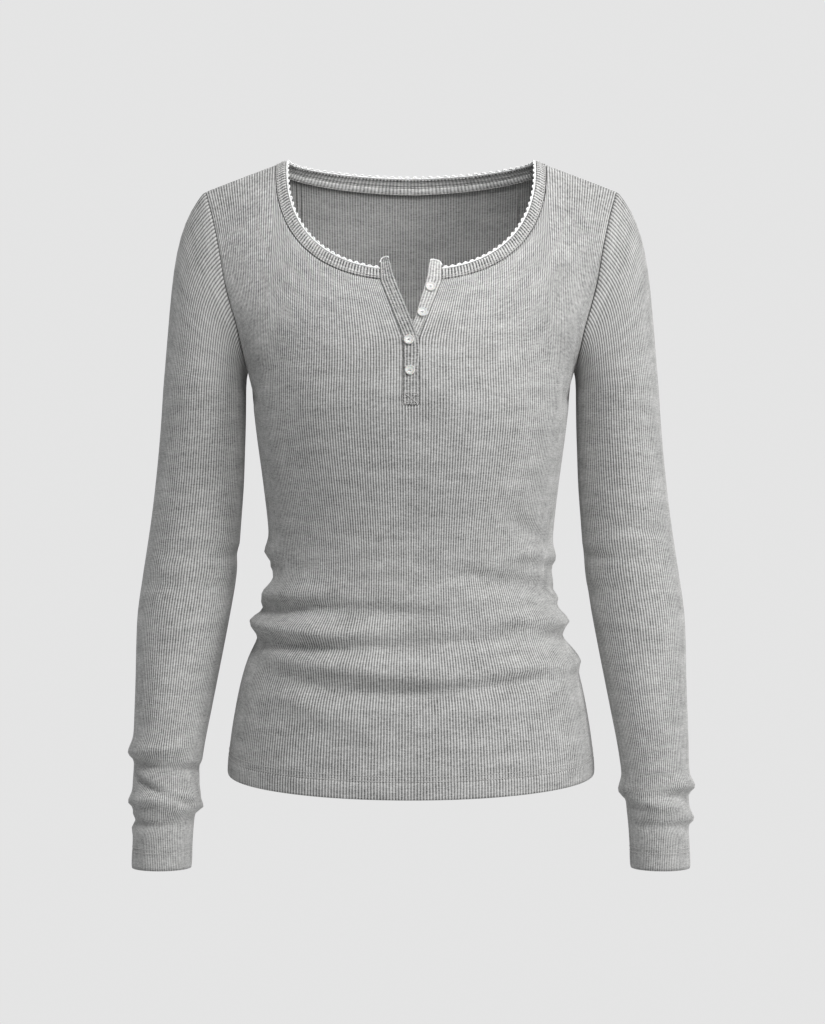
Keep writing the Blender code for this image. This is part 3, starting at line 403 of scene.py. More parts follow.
def knit_piece(name, points, out, us, vs, wall=KNIT_WALL, drop=None, closed=False):
    """A wall of cloth laid over rows of points, its map in metres of flat knit."""
    rows, columns = points.shape[:2]
    shape = bmesh.new()
    cloth = shape.loops.layers.uv.new("cloth")
    bmesh.ops.create_grid(shape, x_segments=columns - 1, y_segments=rows - 1, size=0.5)
    places = {}
    for vert in shape.verts:
        places[vert] = (round((vert.co.y + 0.5) * (rows - 1)), round((vert.co.x + 0.5) * (columns - 1)))
    for face in shape.faces:
        for loop in face.loops:
            row, k = places[loop.vert]
            loop[cloth].uv = (us[k], vs[row])
    if drop:
        gone = []
        for face in shape.faces:
            middle = face.calc_center_median()
            if drop((middle.x + 0.5) * (columns - 1), (middle.y + 0.5) * (rows - 1)):
                gone.append(face)
        bmesh.ops.delete(shape, geom=gone, context="FACES")
    for vert in shape.verts:
        vert.co = points[places[vert]]
    shape.normal_update()
    if sum(vert.normal.dot(Vector(out[places[vert]])) for vert in shape.verts) < 0:
        bmesh.ops.reverse_faces(shape, faces=shape.faces)
    if closed:
        bmesh.ops.remove_doubles(shape, verts=shape.verts, dist=HAIR)
    piece = shaped(name, shape)
    piece.data.shade_smooth()
    thick = piece.modifiers.new("wall", "SOLIDIFY")
    thick.thickness = wall
    thick.offset = -1.0
    return piece


# heights up the panels, as shares: close rows for the hem's sewing and the rolls, wider ones above
HEM_UPS = (0.0, 0.005, 0.018, 0.030, 0.0350, 0.0385, 0.0415, 0.0445, 0.0480, 0.054, 0.066, 0.090, 0.12)
ROLL_UPS = np.linspace(0.14, 0.66, 44)
PLAIN_UPS = np.linspace(0.69, 0.97, 9)
TOP_UPS = np.concatenate((1 + np.linspace(0, 0.97, 22), (1.982, 1.991, 2.0)))
SLIT_FOOT_UP = (PLACKET_FOOT_Z - HEM_SIDE_Z + HEM_DIP) / (ARMPIT_Z - HEM_SIDE_Z + HEM_DIP)


def body_panel(name, facing, shares, lifts, ups, drop=None, slit=()):
    """A front or back, its ribs, folds, hem and turned edges all in the mesh."""
    base = panel_points(shares, ups, facing)
    out = outward(base, facing)
    around = shares if facing < 0 else 2 - shares
    lift = lifts + fold_offset(BODY_FOLDS + SMALL_CREASES, around, base[..., 2])
    from_left, from_hem = distances(base, axis=1), distances(base)
    to_side = np.minimum(from_left, from_left[:, -1:] - from_left)
    lift += edge_dip(to_side) + edge_dip(from_hem[-1:] - from_hem) + turned_up(from_hem, HEM_SEAM_UP)
    for column in slit:
        to_slit = np.abs(from_left - from_left[:, column:column + 1])
        lift += edge_dip(to_slit, SLIT_DIP) * (np.array(ups)[:, None] >= SLIT_FOOT_UP)
    points = base + out * lift[..., None]
    us = np.arange(len(shares)) * RIB_PITCH / COLUMNS_PER_RIB
    return knit_piece(name, points, out, us, from_hem[:, len(shares) // 2], drop=drop)


def material(name):
    """A new material's tree with its Principled shader."""
    made = bpy.data.materials.new(name)
    made.use_nodes = True
    return made, made.node_tree, made.node_tree.nodes["Principled BSDF"]


def plug(tree, made, sockets):
    """Each socket of a node given a value or another node's output."""
    for key, value in dict(sockets).items():
        if isinstance(value, bpy.types.NodeSocket):
            tree.links.new(value, made.inputs[key])
        else:
            made.inputs[key].default_value = value


def node(tree, kind, sockets=(), **settings):
    """A new node with its settings and what is plugged into it."""
    made = tree.nodes.new(kind)
    for key, value in settings.items():
        setattr(made, key, value)
    plug(tree, made, sockets)
    return made


COURSE_PITCH = 0.0011      # from one course of stitches to the next, up a rib
# how narrow the painted shade in the grooves between the ribs is
GROOVE_SHADE_SHARPNESS = 1.2
RIDGE_BUMP, COURSE_BUMP, FIBRE_BUMP = 0.7, 0.08, 0.25
DARK_FIBRE = (0.045, 0.045, 0.044, 1.0)
PALE_FIBRE = (0.82, 0.815, 0.80, 1.0)


def melange_group():
    """Rib knit of mixed dark and pale fibres, its grooves painted darker as shade, from a map in metres: a
    shade from 0 to 1, a height.
    """
    group = bpy.data.node_groups.new("melange_rib", "ShaderNodeTree")
    sockets = (("Cloth", "NodeSocketVector"), ("Pitch", "NodeSocketFloat"), ("Tone", "NodeSocketFloat"),
               ("Groove Shade", "NodeSocketFloat"), ("Fleck", "NodeSocketFloat"))
    for name, kind in sockets:
        group.interface.new_socket(name, in_out="INPUT", socket_type=kind)
    for name in ("Shade", "Height"):
        group.interface.new_socket(name, in_out="OUTPUT", socket_type="NodeSocketFloat")
    inside = group.nodes.new("NodeGroupInput")
    outside = group.nodes.new("NodeGroupOutput")

    def value(operation, *inputs):
        return node(group, "ShaderNodeMath", enumerate(inputs), operation=operation).outputs[0]

    def fibres(long, thin, detail, seed, strength):
        """Noise round zero, drawn out across the ribs: one shade of fibre runs along a course."""
        scaled = node(group, "ShaderNodeMapping",
                      {"Vector": inside.outputs["Cloth"], "Scale": (1 / long, 1 / thin, 1.0),
                       "Location": (seed, seed / 2, 0.0)})
        noise = node(group, "ShaderNodeTexNoise",
                     {"Vector": scaled.outputs[0], "Scale": 1.0, "Detail": detail, "Roughness": 0.6},
                     noise_dimensions="2D")
        return value("MULTIPLY", value("SUBTRACT", noise.outputs["Fac"], 0.5), strength)

    axes = node(group, "ShaderNodeSeparateXYZ", {0: inside.outputs["Cloth"]})
    turns = value("DIVIDE", axes.outputs["X"], inside.outputs["Pitch"])
    wander = fibres(long=0.012, thin=0.025, detail=1.0, seed=3.1, strength=0.22)
    phase = value("MULTIPLY", value("ADD", turns, wander), 2 * math.pi)
    ridge = value("MULTIPLY_ADD", value("COSINE", phase), -0.5, 0.5)
    # painted shade: the grooves between the ribs darkened as if shadowed, on top of the ribs' real relief
    groove_shade = value("POWER", value("SUBTRACT", 1.0, ridge), GROOVE_SHADE_SHARPNESS)
    painted_shade_between_ribs = value("MULTIPLY", groove_shade, inside.outputs["Groove Shade"])
    dashes = fibres(long=0.0075, thin=0.0013, detail=1.5, seed=7.7, strength=0.60)
    specks = fibres(long=0.0020, thin=0.0010, detail=0.0, seed=1.3, strength=0.40)
    clouds = fibres(long=0.040, thin=0.009, detail=2.0, seed=5.9, strength=0.45)
    melange = value("MULTIPLY", value("ADD", value("ADD", dashes, specks), clouds), inside.outputs["Fleck"])
    shade = value("SUBTRACT", value("ADD", inside.outputs["Tone"], melange), painted_shade_between_ribs)
    group.links.new(node(group, "ShaderNodeClamp", {"Value": shade}).outputs[0], outside.inputs["Shade"])
    up = value("MULTIPLY", axes.outputs["Y"], 2 * math.pi / COURSE_PITCH)
    courses = value("SINE", value("ADD", up, phase))
    height = value("ADD", value("MULTIPLY", ridge, RIDGE_BUMP), value("MULTIPLY", courses, COURSE_BUMP))
    height = value("ADD", height, value("MULTIPLY", value("ADD", dashes, specks), FIBRE_BUMP))
    group.links.new(height, outside.inputs["Height"])
    return group


MELANGE = melange_group()


def rib_knit(name, groove_shade=0.52, fleck=0.6, tone=0.70):
    """Grey melange knit: matt, soft-edged, with a little fuzz that catches light from the side, and painted
    shade in the grooves between its ribs.
    """
    made, tree, shader = material(name)
    cloth = node(tree, "ShaderNodeUVMap", uv_map="cloth")
    knit = node(tree, "ShaderNodeGroup",
                {"Cloth": cloth.outputs[0], "Pitch": RIB_PITCH, "Tone": tone, "Groove Shade": groove_shade,
                 "Fleck": fleck}, node_tree=MELANGE)
    # a Mix node's colours are its sockets 6 and 7, and its mixed colour is its output 2
    colour = node(tree, "ShaderNodeMix", {"Factor": knit.outputs["Shade"], 6: DARK_FIBRE, 7: PALE_FIBRE},
                  data_type="RGBA")
    bump = node(tree, "ShaderNodeBump",
                {"Height": knit.outputs["Height"], "Strength": 0.6, "Distance": 0.0004})
    plug(tree, shader, {"Base Color": colour.outputs[2], "Normal": bump.outputs[0], "Roughness": 0.92,
                        "Specular IOR Level": 0.12, "Sheen Weight": 0.18, "Sheen Roughness": 0.6})
    return made


PANEL_KNIT = rib_knit("panel_knit")
# the panels' inside faces: less painted shade in their grooves, partly for the reverse's own softer ribs and
# partly as painted light that brightens the inside of the back
PANEL_REVERSE_PAINTED_LIGHTER = rib_knit("panel_reverse_painted_lighter", groove_shade=0.40, fleck=0.5)
right_half = np.linspace(SLIT_SHARE, 1.0, HALF_FRONT_RIBS * COLUMNS_PER_RIB + 1)
middle = np.linspace(-SLIT_SHARE, SLIT_SHARE, PLACKET_RIBS * COLUMNS_PER_RIB + 1)[1:-1]
front_shares = np.concatenate((-right_half[::-1], middle, right_half))
front_ups = np.sort(np.concatenate((HEM_UPS, ROLL_UPS, PLAIN_UPS, [SLIT_FOOT_UP], TOP_UPS)))
slit_columns = (len(right_half) - 1, len(right_half) + len(middle))


def in_slit(column, row):
    """Whether a face of the front falls in the slit, which is left open."""
    return slit_columns[0] < column < slit_columns[1] and front_ups[int(row)] >= SLIT_FOOT_UP - HAIR


front = body_panel("front_panel", -1, front_shares, rib_lifts(2 * HALF_FRONT_RIBS + PLACKET_RIBS, 11),
                   front_ups, drop=in_slit, slit=slit_columns)
front.data.materials.append(PANEL_KNIT)
front.data.materials.append(PANEL_REVERSE_PAINTED_LIGHTER)
front.modifiers["wall"].material_offset = 1
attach(front, "root")
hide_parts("front")

# ==== Back =======================================================================================
# The other panel, cut on the fold with no slit and a shallow neckline, in the same knit. It hangs
# closer at the shoulder blades and has its own rolls over the seat.
BACK_RIBS = 160
back_shares = np.linspace(-1.0, 1.0, BACK_RIBS * COLUMNS_PER_RIB + 1)
back_ups = np.concatenate((HEM_UPS, ROLL_UPS, PLAIN_UPS, TOP_UPS))
back = body_panel("back_panel", 1, back_shares, rib_lifts(BACK_RIBS, 12), back_ups)
back.data.materials.append(PANEL_KNIT)
back.data.materials.append(PANEL_REVERSE_PAINTED_LIGHTER)
back.modifiers["wall"].material_offset = 1
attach(back, "root")
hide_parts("back")

# ==== Sleeves ====================================================================================
# Two long set-in sleeves of the same knit, each one piece closed by a seam under the arm and turned
# up at the wrist. They are longer than the arm, so they ride up in rolls above the cuff.
SLEEVE_RIBS = 105
CUFF_SEAM_UP = 0.0142      # the cuff's coverstitch, above its edge
CUFF_STITCH_DIP = (0.0004, 0.0022)
SLEEVE = (
    ("z", "centre_x", "half_width", "centre_y", "half_depth"),
    (-0.207, 0.1858, 0.0368, 0.003, 0.0480),
    (-0.236, 0.1870, 0.0376, 0.005, 0.0468),
    (-0.265, 0.1887, 0.0384, 0.006, 0.0458),
    (-0.293, 0.1906, 0.0393, 0.006, 0.0448),
    (-0.322, 0.1933, 0.0400, 0.005, 0.0438),
    (-0.351, 0.1964, 0.0410, 0.003, 0.0430),
    (-0.380, 0.2000, 0.0416, 0.000, 0.0424),
    (-0.408, 0.2040, 0.0410, -0.004, 0.0414),
    (-0.437, 0.2070, 0.0388, -0.009, 0.0400),
    (-0.465, 0.2096, 0.0362, -0.015, 0.0386),
    (-0.493, 0.2124, 0.0338, -0.021, 0.0370),
    (-0.521, 0.2152, 0.0314, -0.027, 0.0352),
    (-0.555, 0.2176, 0.0290, -0.033, 0.0332),
    (-0.593, 0.2194, 0.0264, -0.039, 0.0314),
    (-0.631, 0.2206, 0.0258, -0.044, 0.0304),
)
SLEEVE_TOP_Z, CUFF_Z = SLEEVE[1][0], SLEEVE[-1][0]
SLEEVE_HEAD_SWELL = 0.62   # of the head's width is reached in a round shoulder, the rest straight
SLEEVE_HEAD_ROUNDNESS = 6.0
SLEEVE_OUT = 0.0003        # from the armhole's own line
# places round a sleeve in quarters from the underarm: 1 is the front, 2 the outside, 3 the back
SLEEVE_RIGHT_FOLDS = (
    (-0.6, -0.352, 1.7, -0.350, 0.002, -0.0018, 0.0080),
    (0.0, -0.382, 2.0, -0.376, 0.002, -0.0020, 0.0080),
    (0.2, -0.522, 3.4, -0.538, 0.000, 0.0048, 0.0080),
    (-0.4, -0.543, 2.2, -0.536, 0.002, -0.0046, 0.0052),
    (-0.5, -0.564, 3.1, -0.578, 0.000, 0.0044, 0.0060),
    (-1.2, -0.578, 1.3, -0.577, 0.000, 0.0068, 0.0070),
    (0.05, -0.581, 2.1, -0.543, 0.000, -0.0044, 0.0045),
    (0.2, -0.590, 2.6, -0.586, 0.003, -0.0034, 0.0055),
    (1.6, -0.596, 3.2, -0.598, 0.000, 0.0024, 0.0070),
    (0.3, -0.334, 1.3, -0.338, 0.000, 0.0008, 0.0040),
    (0.5, -0.366, 1.8, -0.362, 0.000, 0.0009, 0.0036),
    (2.6, -0.372, 3.8, -0.364, 0.000, 0.0010, 0.0040),
    (0.7, -0.565, 1.8, -0.570, 0.000, 0.0011, 0.0026),
    (2.4, -0.556, 3.6, -0.548, 0.000, -0.0012, 0.0034),
)
SLEEVE_LEFT_FOLDS = (
    (0.4, -0.326, 1.9, -0.332, 0.000, -0.0022, 0.0080),
    (-0.2, -0.352, 1.5, -0.356, 0.002, -0.0020, 0.0080),
    (-0.2, -0.388, 1.4, -0.380, 0.000, -0.0018, 0.0080),
    (1.0, -0.557, 3.2, -0.566, 0.000, 0.0058, 0.0070),
    (-0.3, -0.566, 2.2, -0.562, 0.002, -0.0036, 0.0060),
    (-1.1, -0.556, 1.5, -0.578, 0.000, 0.0058, 0.0080),
    (0.2, -0.592, 2.1, -0.592, 0.000, -0.0034, 0.0055),
    (1.3, -0.588, 3.0, -0.590, 0.000, 0.0050, 0.0062),
    (0.6, -0.340, 1.6, -0.344, 0.000, 0.0008, 0.0040),
    (0.4, -0.368, 1.4, -0.366, 0.000, 0.0009, 0.0038),
    (2.5, -0.350, 3.7, -0.358, 0.000, 0.0010, 0.0040),
    (0.5, -0.580, 1.7, -0.577, 0.000, 0.0010, 0.0026),
    (2.5, -0.578, 3.7, -0.584, 0.000, -0.0012, 0.0034),
)


def sleeve_points(arounds, downs):
    """The smooth left sleeve: downs are 0 to 1 over its head, then 1 to 2 to the cuff."""
    around, down = np.meshgrid(arounds % QUARTERS, downs)
    z = SLEEVE_TOP_Z + (CUFF_Z - SLEEVE_TOP_Z) * np.clip(down - 1, 0, 1)
    centre_x, half_width, centre_y, half_depth = (smooth(SLEEVE, z, name) for name in SLEEVE[0][1:])
    angle = around * math.pi / 2
    x, y = centre_x - half_width * np.cos(angle), centre_y - half_depth * np.sin(angle)
    section = np.stack([x, y, z], axis=-1)
    in_front = (around <= 2)[..., None]
    share = np.where(around <= 2, around, QUARTERS - around) / 2
    start = np.where(in_front, armhole_point(share, -1), armhole_point(share, 1)) + (SLEEVE_OUT, 0, 0)
    fall = np.clip(down, 0, 1)[..., None]
    round_part = 1 - (1 - fall) ** SLEEVE_HEAD_ROUNDNESS
    swell = fall + (round_part - fall) * SLEEVE_HEAD_SWELL
    head = start + (section - start) * fall
    head[..., 0] = (start + (section - start) * swell)[..., 0]
    return np.where((down < 1)[..., None], head, section)


HEAD_DOWNS = (0.0, 0.012, 0.025, 0.05, 0.10, 0.16, 0.23, 0.31, 0.40, 0.50, 0.60, 0.70, 0.80, 0.90)
ARM_ZS = np.concatenate((
    np.linspace(SLEEVE_TOP_Z, -0.320, 10, endpoint=False),
    np.linspace(-0.320, -0.395, 15, endpoint=False),
    np.linspace(-0.395, -0.505, 10, endpoint=False),
    np.linspace(-0.505, -0.606, 32, endpoint=False),
    (-0.606, -0.610, -0.6130, -0.6155, -0.6180, -0.6210, -0.6250, -0.6285, -0.6310),
))
SLEEVE_KNIT = rib_knit("sleeve_knit")


def sleeve(name, side, folds, seed):
    """A sleeve; side is 1 for the wearer's left, at +X, and -1 for the right."""
    columns = SLEEVE_RIBS * COLUMNS_PER_RIB
    arounds = np.arange(columns) * QUARTERS / columns
    downs = np.concatenate((HEAD_DOWNS, 1 + (ARM_ZS - SLEEVE_TOP_Z) / (CUFF_Z - SLEEVE_TOP_Z)))
    base = sleeve_points(arounds, downs)
    out = outward(base, 1, closed=True)
    lift = rib_lifts(SLEEVE_RIBS, seed)[:-1] + fold_offset(folds, arounds, base[..., 2])
    from_head = distances(base)
    lift += edge_dip(from_head) + turned_up(from_head[-1:] - from_head, CUFF_SEAM_UP, CUFF_STITCH_DIP)
    points = base + out * lift[..., None]
    points, out = (np.concatenate((grid, grid[:, :1]), axis=1) * (side, 1, 1) for grid in (points, out))
    us = np.arange(columns + 1) * RIB_PITCH / COLUMNS_PER_RIB
    piece = knit_piece(name, points, out, us, -from_head[:, columns // 2], closed=True)
    piece.data.materials.append(SLEEVE_KNIT)
    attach(piece, "root")
    return piece


left_sleeve = sleeve("left_sleeve", 1, SLEEVE_LEFT_FOLDS, 13)
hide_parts("sleeve_left")
right_sleeve = sleeve("right_sleeve", -1, SLEEVE_RIGHT_FOLDS, 14)
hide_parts("sleeve_right")

# ==== Neckband ===================================================================================
# A doubled strip of the same knit round the neck, its ribs running across it. A twin-needle
# coverstitch holds the seam allowance down inside, so two low ridges run beside the seam, and the
# ribs open out between them and the free edge.
BAND_RIBS = 234
BAND_EASE = 0.0006
BAND_WALL = 0.0014
BAND_END_X = 0.0272        # where the band stops, beside the placket's strips
NECK_BEND_WEIGHT = 0.03    # length of band that a bend of one radian counts for, in spacing its ribs
NECK_FINE = 3201           # points of the neck's line, before the ribs are spaced along it
BAND_ROWS = (
    # from the seam: how far, how high the cloth stands, and how open its ribs are. The first rows
    # are the allowance turned down inside.
    ("across", "stand", "open"),
    (-0.0040, -0.0022, 0.00),
    (-0.0026, -0.0023, 0.10),
    (-0.0012, -0.0021, 0.10),
    (-0.0002, -0.0014, 0.05),
    (0.0000, -0.0009, 0.00),
    (0.0002, -0.0003, 0.10),
    (0.0006, 0.0002, 0.15),
    (0.0011, 0.0003, 0.15),
    (0.0017, -0.0003, 0.20),
    (0.0023, 0.0002, 0.25),
    (0.0028, 0.0003, 0.25),
    (0.0034, -0.0003, 0.45),
    (0.0041, 0.0001, 0.90),
    (0.0052, 0.0002, 1.25),
    (0.0066, 0.0001, 1.30),
    (0.0078, 0.0001, 1.10),
    (0.0083, -0.0002, 0.80),
    (0.0086, -0.0009, 0.30),
)


def neck_place(turn, out):
    """Points of the neck; turn is 0 at the centre back, 1 at a high neck point, towards 2 in front."""
    quarter = np.sin(np.minimum(np.abs(turn), 2 - np.abs(turn)) * math.pi / 2)
    halves = []
    for facing in (1, -1):
        x = np.sign(turn) * (NECK_HALF_WIDTH + out) * quarter ** (2 / NECK_ROUNDNESS[facing])
        halves.append(body_point(x, neck_edge(out, x, facing), facing))
    return np.where((np.abs(turn) <= 1)[..., None], *halves)


def neck_path(out, count):
    """Points round the neck from one side of the placket to the other, closer where it bends."""
    end_sine = (BAND_END_X / (NECK_HALF_WIDTH + out)) ** (NECK_ROUNDNESS[-1] / 2)
    end = 2 - math.asin(end_sine) * 2 / math.pi
    fine = neck_place(np.linspace(-end, end, NECK_FINE), out)
    steps = np.diff(fine, axis=0)
    lengths = np.linalg.norm(steps, axis=1)
    ways = steps / lengths[:, None]
    bends = np.linalg.norm(np.diff(ways, axis=0, prepend=ways[:1]), axis=1)
    measure = np.concatenate(([0.0], np.cumsum(lengths + NECK_BEND_WEIGHT * bends)))
    wanted = np.linspace(0, measure[-1], count)
    return np.stack([np.interp(wanted, measure, fine[:, axis]) for axis in range(3)], axis=-1)


def neck_frames(count):
    """At stations round the neck: the band's free edge, its sewn edge, the way out and the way up."""
    free, sewn = neck_path(BAND_FREE_OUT, count), neck_path(BAND_SEWN_OUT, count)
    up = free - sewn
    up /= np.linalg.norm(up, axis=1, keepdims=True)
    out = np.cross(up, np.gradient(free, axis=0))
    return free, sewn, out / np.linalg.norm(out, axis=1, keepdims=True), up


def neckband():
    """The band's wall, with its cross ribs, its two sewn ridges and its turned free edge."""
    columns = BAND_RIBS * COLUMNS_PER_RIB + 1
    free, sewn, out, up = neck_frames(columns)
    low = sewn + up * BAND_EASE * (1 + np.abs(out[:, 2:]))
    across, stand, opened = (np.array(column) for column in zip(*BAND_ROWS[1:]))
    shares = across / across[-1]
    points = low + (free - low) * shares[:, None, None]
    lifts = stand[:, None] + opened[:, None] * rib_lifts(BAND_RIBS, 15)
    points = points + out * lifts[..., None]
    us = np.arange(columns) * RIB_PITCH / COLUMNS_PER_RIB
    return knit_piece("neck_band", points, np.broadcast_to(out, points.shape), us, across, BAND_WALL)


band = neckband()
band.data.materials.append(rib_knit("band_knit", groove_shade=0.62, fleck=0.8))
# the allowance turned down inside the neck: its tone painted darker, as shade, where its slope faces up into
# the light
band.data.materials.append(rib_knit("band_reverse_painted_darker", groove_shade=0.32, fleck=0.5, tone=0.56))
band.modifiers["wall"].material_offset = 1
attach(band, "root")
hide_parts("neckband")

# ==== Picot edging ===============================================================================
# A narrow white elastic caught under the band's free edge. All that shows of it is a soft cord along
# the edge and a row of small round loops of the same yarn standing on it.
PICOTS = 104
PICOT_FOOT = 0.0003        # between the band's edge and the edging
CORD_THICK = 0.0016
LOOP_YARN = 0.0014
LOOP_RISE = 0.0016
LOOP_SPREAD = 0.26         # half a loop's width at its widest, as a share of the space from loop to loop
LOOP_POINTS = 7
LOOP_TURN = 0.62           # half turns from a loop's top round to its foot
LOOP_FOOT = 0.37           # of a loop's radius, from its middle down to its foot
LOOP_UNEVEN = 0.15         # how much higher or lower than the rest a loop may be
LOOP_LEAN = 0.12           # the most that a loop leans along the band, and how far each leans out
LOOP_OUT = 0.10


def cord(name, lines, thick, resolution=1):
    """Yarn or thread laid along lists of points, one spline for each."""
    yarn = bpy.data.curves.new(name, "CURVE")
    yarn.dimensions = "3D"
    yarn.bevel_depth = thick / 2
    yarn.bevel_resolution = resolution
    yarn.use_fill_caps = True
    for line in lines:
        spline = yarn.splines.new("POLY")
        spline.points.add(len(line) - 1)
        for point, place in zip(spline.points, line):
            point.co = (*place, 1.0)
    return placed(name, yarn)


def picot_lines():
    """The cord's own line, then each loop, standing a little off straight as loops do."""
    rng = np.random.default_rng(16)
    steps = 2 * LOOP_POINTS
    free, _, out, up = neck_frames(PICOTS * steps + 1)
    foot = free + up * (PICOT_FOOT + CORD_THICK / 2) - out * BAND_WALL / 2
    lines = [foot[::LOOP_POINTS]]
    for k in range(PICOTS):
        middle = k * steps + LOOP_POINTS
        at, standing, facing = foot[middle], up[middle], out[middle]
        along = foot[middle + 1] - foot[middle - 1]
        pitch = np.linalg.norm(foot[middle + LOOP_POINTS] - foot[middle - LOOP_POINTS])
        along = along / np.linalg.norm(along)
        rise = LOOP_RISE * rng.uniform(1 - LOOP_UNEVEN, 1 + LOOP_UNEVEN)
        lean = rng.uniform(-LOOP_LEAN, LOOP_LEAN)
        loop = []
        for turn in np.linspace(-LOOP_TURN, LOOP_TURN, LOOP_POINTS) * math.pi:
            aside = math.sin(turn) * pitch * LOOP_SPREAD
            height = (math.cos(turn) + LOOP_FOOT) / (1 + LOOP_FOOT) * rise
            loop.append(at + along * (aside + lean * height) + (standing + facing * LOOP_OUT) * height)
        lines.append(loop)
    return lines


def cotton(name, colour, ply=0.0009):
    """Cotton yarn or thread: matt, with the twist of its plies."""
    made, tree, shader = material(name)
    place = node(tree, "ShaderNodeTexCoord").outputs["Object"]
    fuzz = node(tree, "ShaderNodeTexNoise", {"Vector": place, "Scale": 0.5 / ply, "Detail": 3.0})
    twist = node(tree, "ShaderNodeTexWave", {"Vector": place, "Scale": 0.16 / ply, "Distortion": 2.0},
                 wave_type="BANDS", bands_direction="DIAGONAL")
    shade = node(tree, "ShaderNodeValToRGB", {"Fac": fuzz.outputs["Fac"]})
    shade.color_ramp.elements[0].color = (*(0.80 * part for part in colour), 1.0)
    shade.color_ramp.elements[1].color = (*colour, 1.0)
    shade.color_ramp.elements[1].position = 0.62
    bump = node(tree, "ShaderNodeBump", {"Height": twist.outputs["Fac"], "Strength": 0.5, "Distance": 0.0002})
    plug(tree, shader, {"Base Color": shade.outputs[0], "Normal": bump.outputs[0], "Roughness": 0.85,
                        "Specular IOR Level": 0.2})
    return made


cord_line, *loop_lines = picot_lines()
edging_cord = cord("edging_cord", [cord_line], CORD_THICK)
edging_loops = cord("edging_loops", loop_lines, LOOP_YARN)
WHITE_COTTON = cotton("white_cotton", (0.93, 0.93, 0.92))
for piece in (edging_cord, edging_loops):
    piece.data.materials.append(WHITE_COTTON)
    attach(piece, "root")
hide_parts("picot_edging")

# ==== Placket ====================================================================================
# Two folded bands of the knit sewn to the slit, the wearer's right over the left, their ribs running
# along them. The upper one has two bound buttonholes and is tacked down at its foot with a crossed
# box of stitching.
STRIP_RIBS = 5
STRIP_RIB_COLUMNS = 6
STRIP_RIB_HEIGHT = 0.00032
UNEVEN_STRIP_RIBS = (0.7, 1.2)
STRIP_WALL = 0.0014
STRIP_ROWS = (30, 36)      # below and above the split, then close ones at these depths below the top
STRIP_TOP_ROWS = np.array((0.0040, 0.0025, 0.0014, 0.0006, 0.0))
STRIP_EASE = {-1: 0.0012, 1: 0.0004}         # from the slit to the over and the under strip
STRIP_CURL = 0.0046        # how far a free edge turns out at the top of the opening
STRIP_CURL_ACROSS, STRIP_CURL_UP = 1.2, 0.7  # the powers by which it turns out across and up the strip
STRIP_TOP_ROUNDING = 0.00308                 # how far a strip's top is cut down at its two edges
STRIP_TOP_SQUARENESS = 4
STRIP_TOP_REACH = 0.012                      # how far down the rows bend with the rounded top
STRIP_SEWN_DIP, STRIP_FREE_DIP, STRIP_TOP_DIP = (0.0005, 0.0009), (0.0016, 0.0024), (0.0008, 0.0012)
# the under strip's ribs lie pressed beneath the over strip, and stand up as it rises from there
PRESSED_EASE, PRESSED_RISE = 0.0002, 0.0010
BUTTONHOLES = ((-0.0159, -0.1248), (-0.0097, -0.1425))       # x and z of their middles
BUTTONHOLE_HALF = (0.0004, 0.0022)           # half their width and height
OVER_STRIP = (
    ("z", "free", "lift"),
    (-0.2246, 0.0070, 0.0010),
    (-0.1960, 0.0070, 0.0010),
    (-0.1670, 0.0068, 0.0010),
    (-0.1580, 0.0034, 0.0010),
    (-0.1500, 0.0002, 0.0010),
    (-0.1380, -0.0046, 0.0010),
    (-0.1240, -0.0104, 0.0010),
    (-0.1120, -0.0147, 0.0010),
    (-0.1030, -0.0172, 0.0010),
    (-0.0950, -0.0188, 0.0010),
)
UNDER_STRIP = (
    ("z", "free", "lift"),
    (-0.2246, -0.0058, -0.0011),
    (-0.1960, -0.0058, -0.0011),
    (-0.1670, -0.0050, -0.0011),
    (-0.1580, -0.0012, -0.0011),
    (-0.1500, 0.0024, -0.0006),
    (-0.1380, 0.0062, 0.0006),
    (-0.1240, 0.0104, 0.0006),
    (-0.1120, 0.0136, 0.0006),
    (-0.1030, 0.0148, 0.0006),
    (-0.0975, 0.0158, 0.0006),
)


def on_body(x, z, lift, step=0.001):
    """Points on the front of the body surface at x and z, moved out by lift, and the way out there."""
    across = body_point(x + step, z, -1) - body_point(x - step, z, -1)
    along = body_point(x, z + step, -1) - body_point(x, z - step, -1)
    out = np.cross(across, along)
    out /= np.linalg.norm(out, axis=-1, keepdims=True)
    return body_point(x, z, -1) + out * np.asarray(lift)[..., None], out


def opening(table, z):
    """The share of the way from the split up to the top of a strip."""
    return np.clip((z - PLACKET_SPLIT_Z) / (table[-1][0] - PLACKET_SPLIT_Z), 0, 1)


def strip_lift(table, share, z):
    """How far a strip stands off the body: its free edge turns out towards the top."""
    curl = share**STRIP_CURL_ACROSS * opening(table, z) ** STRIP_CURL_UP
    return smooth(table, z, "lift") + STRIP_CURL * curl


def top_rounding(share):
    """How far a strip's rounded top lies below its highest point, across the strip."""
    return STRIP_TOP_ROUNDING * np.abs(2 * share - 1) ** STRIP_TOP_SQUARENESS


def strip_x(table, side, share, z):
    """x at a share of the way from a strip's sewn edge to its free one."""
    sewn_x = side * (slit_x(z) - STRIP_EASE[side] * (1 - opening(table, z)))
    return sewn_x + (smooth(table, z, "free") - sewn_x) * share


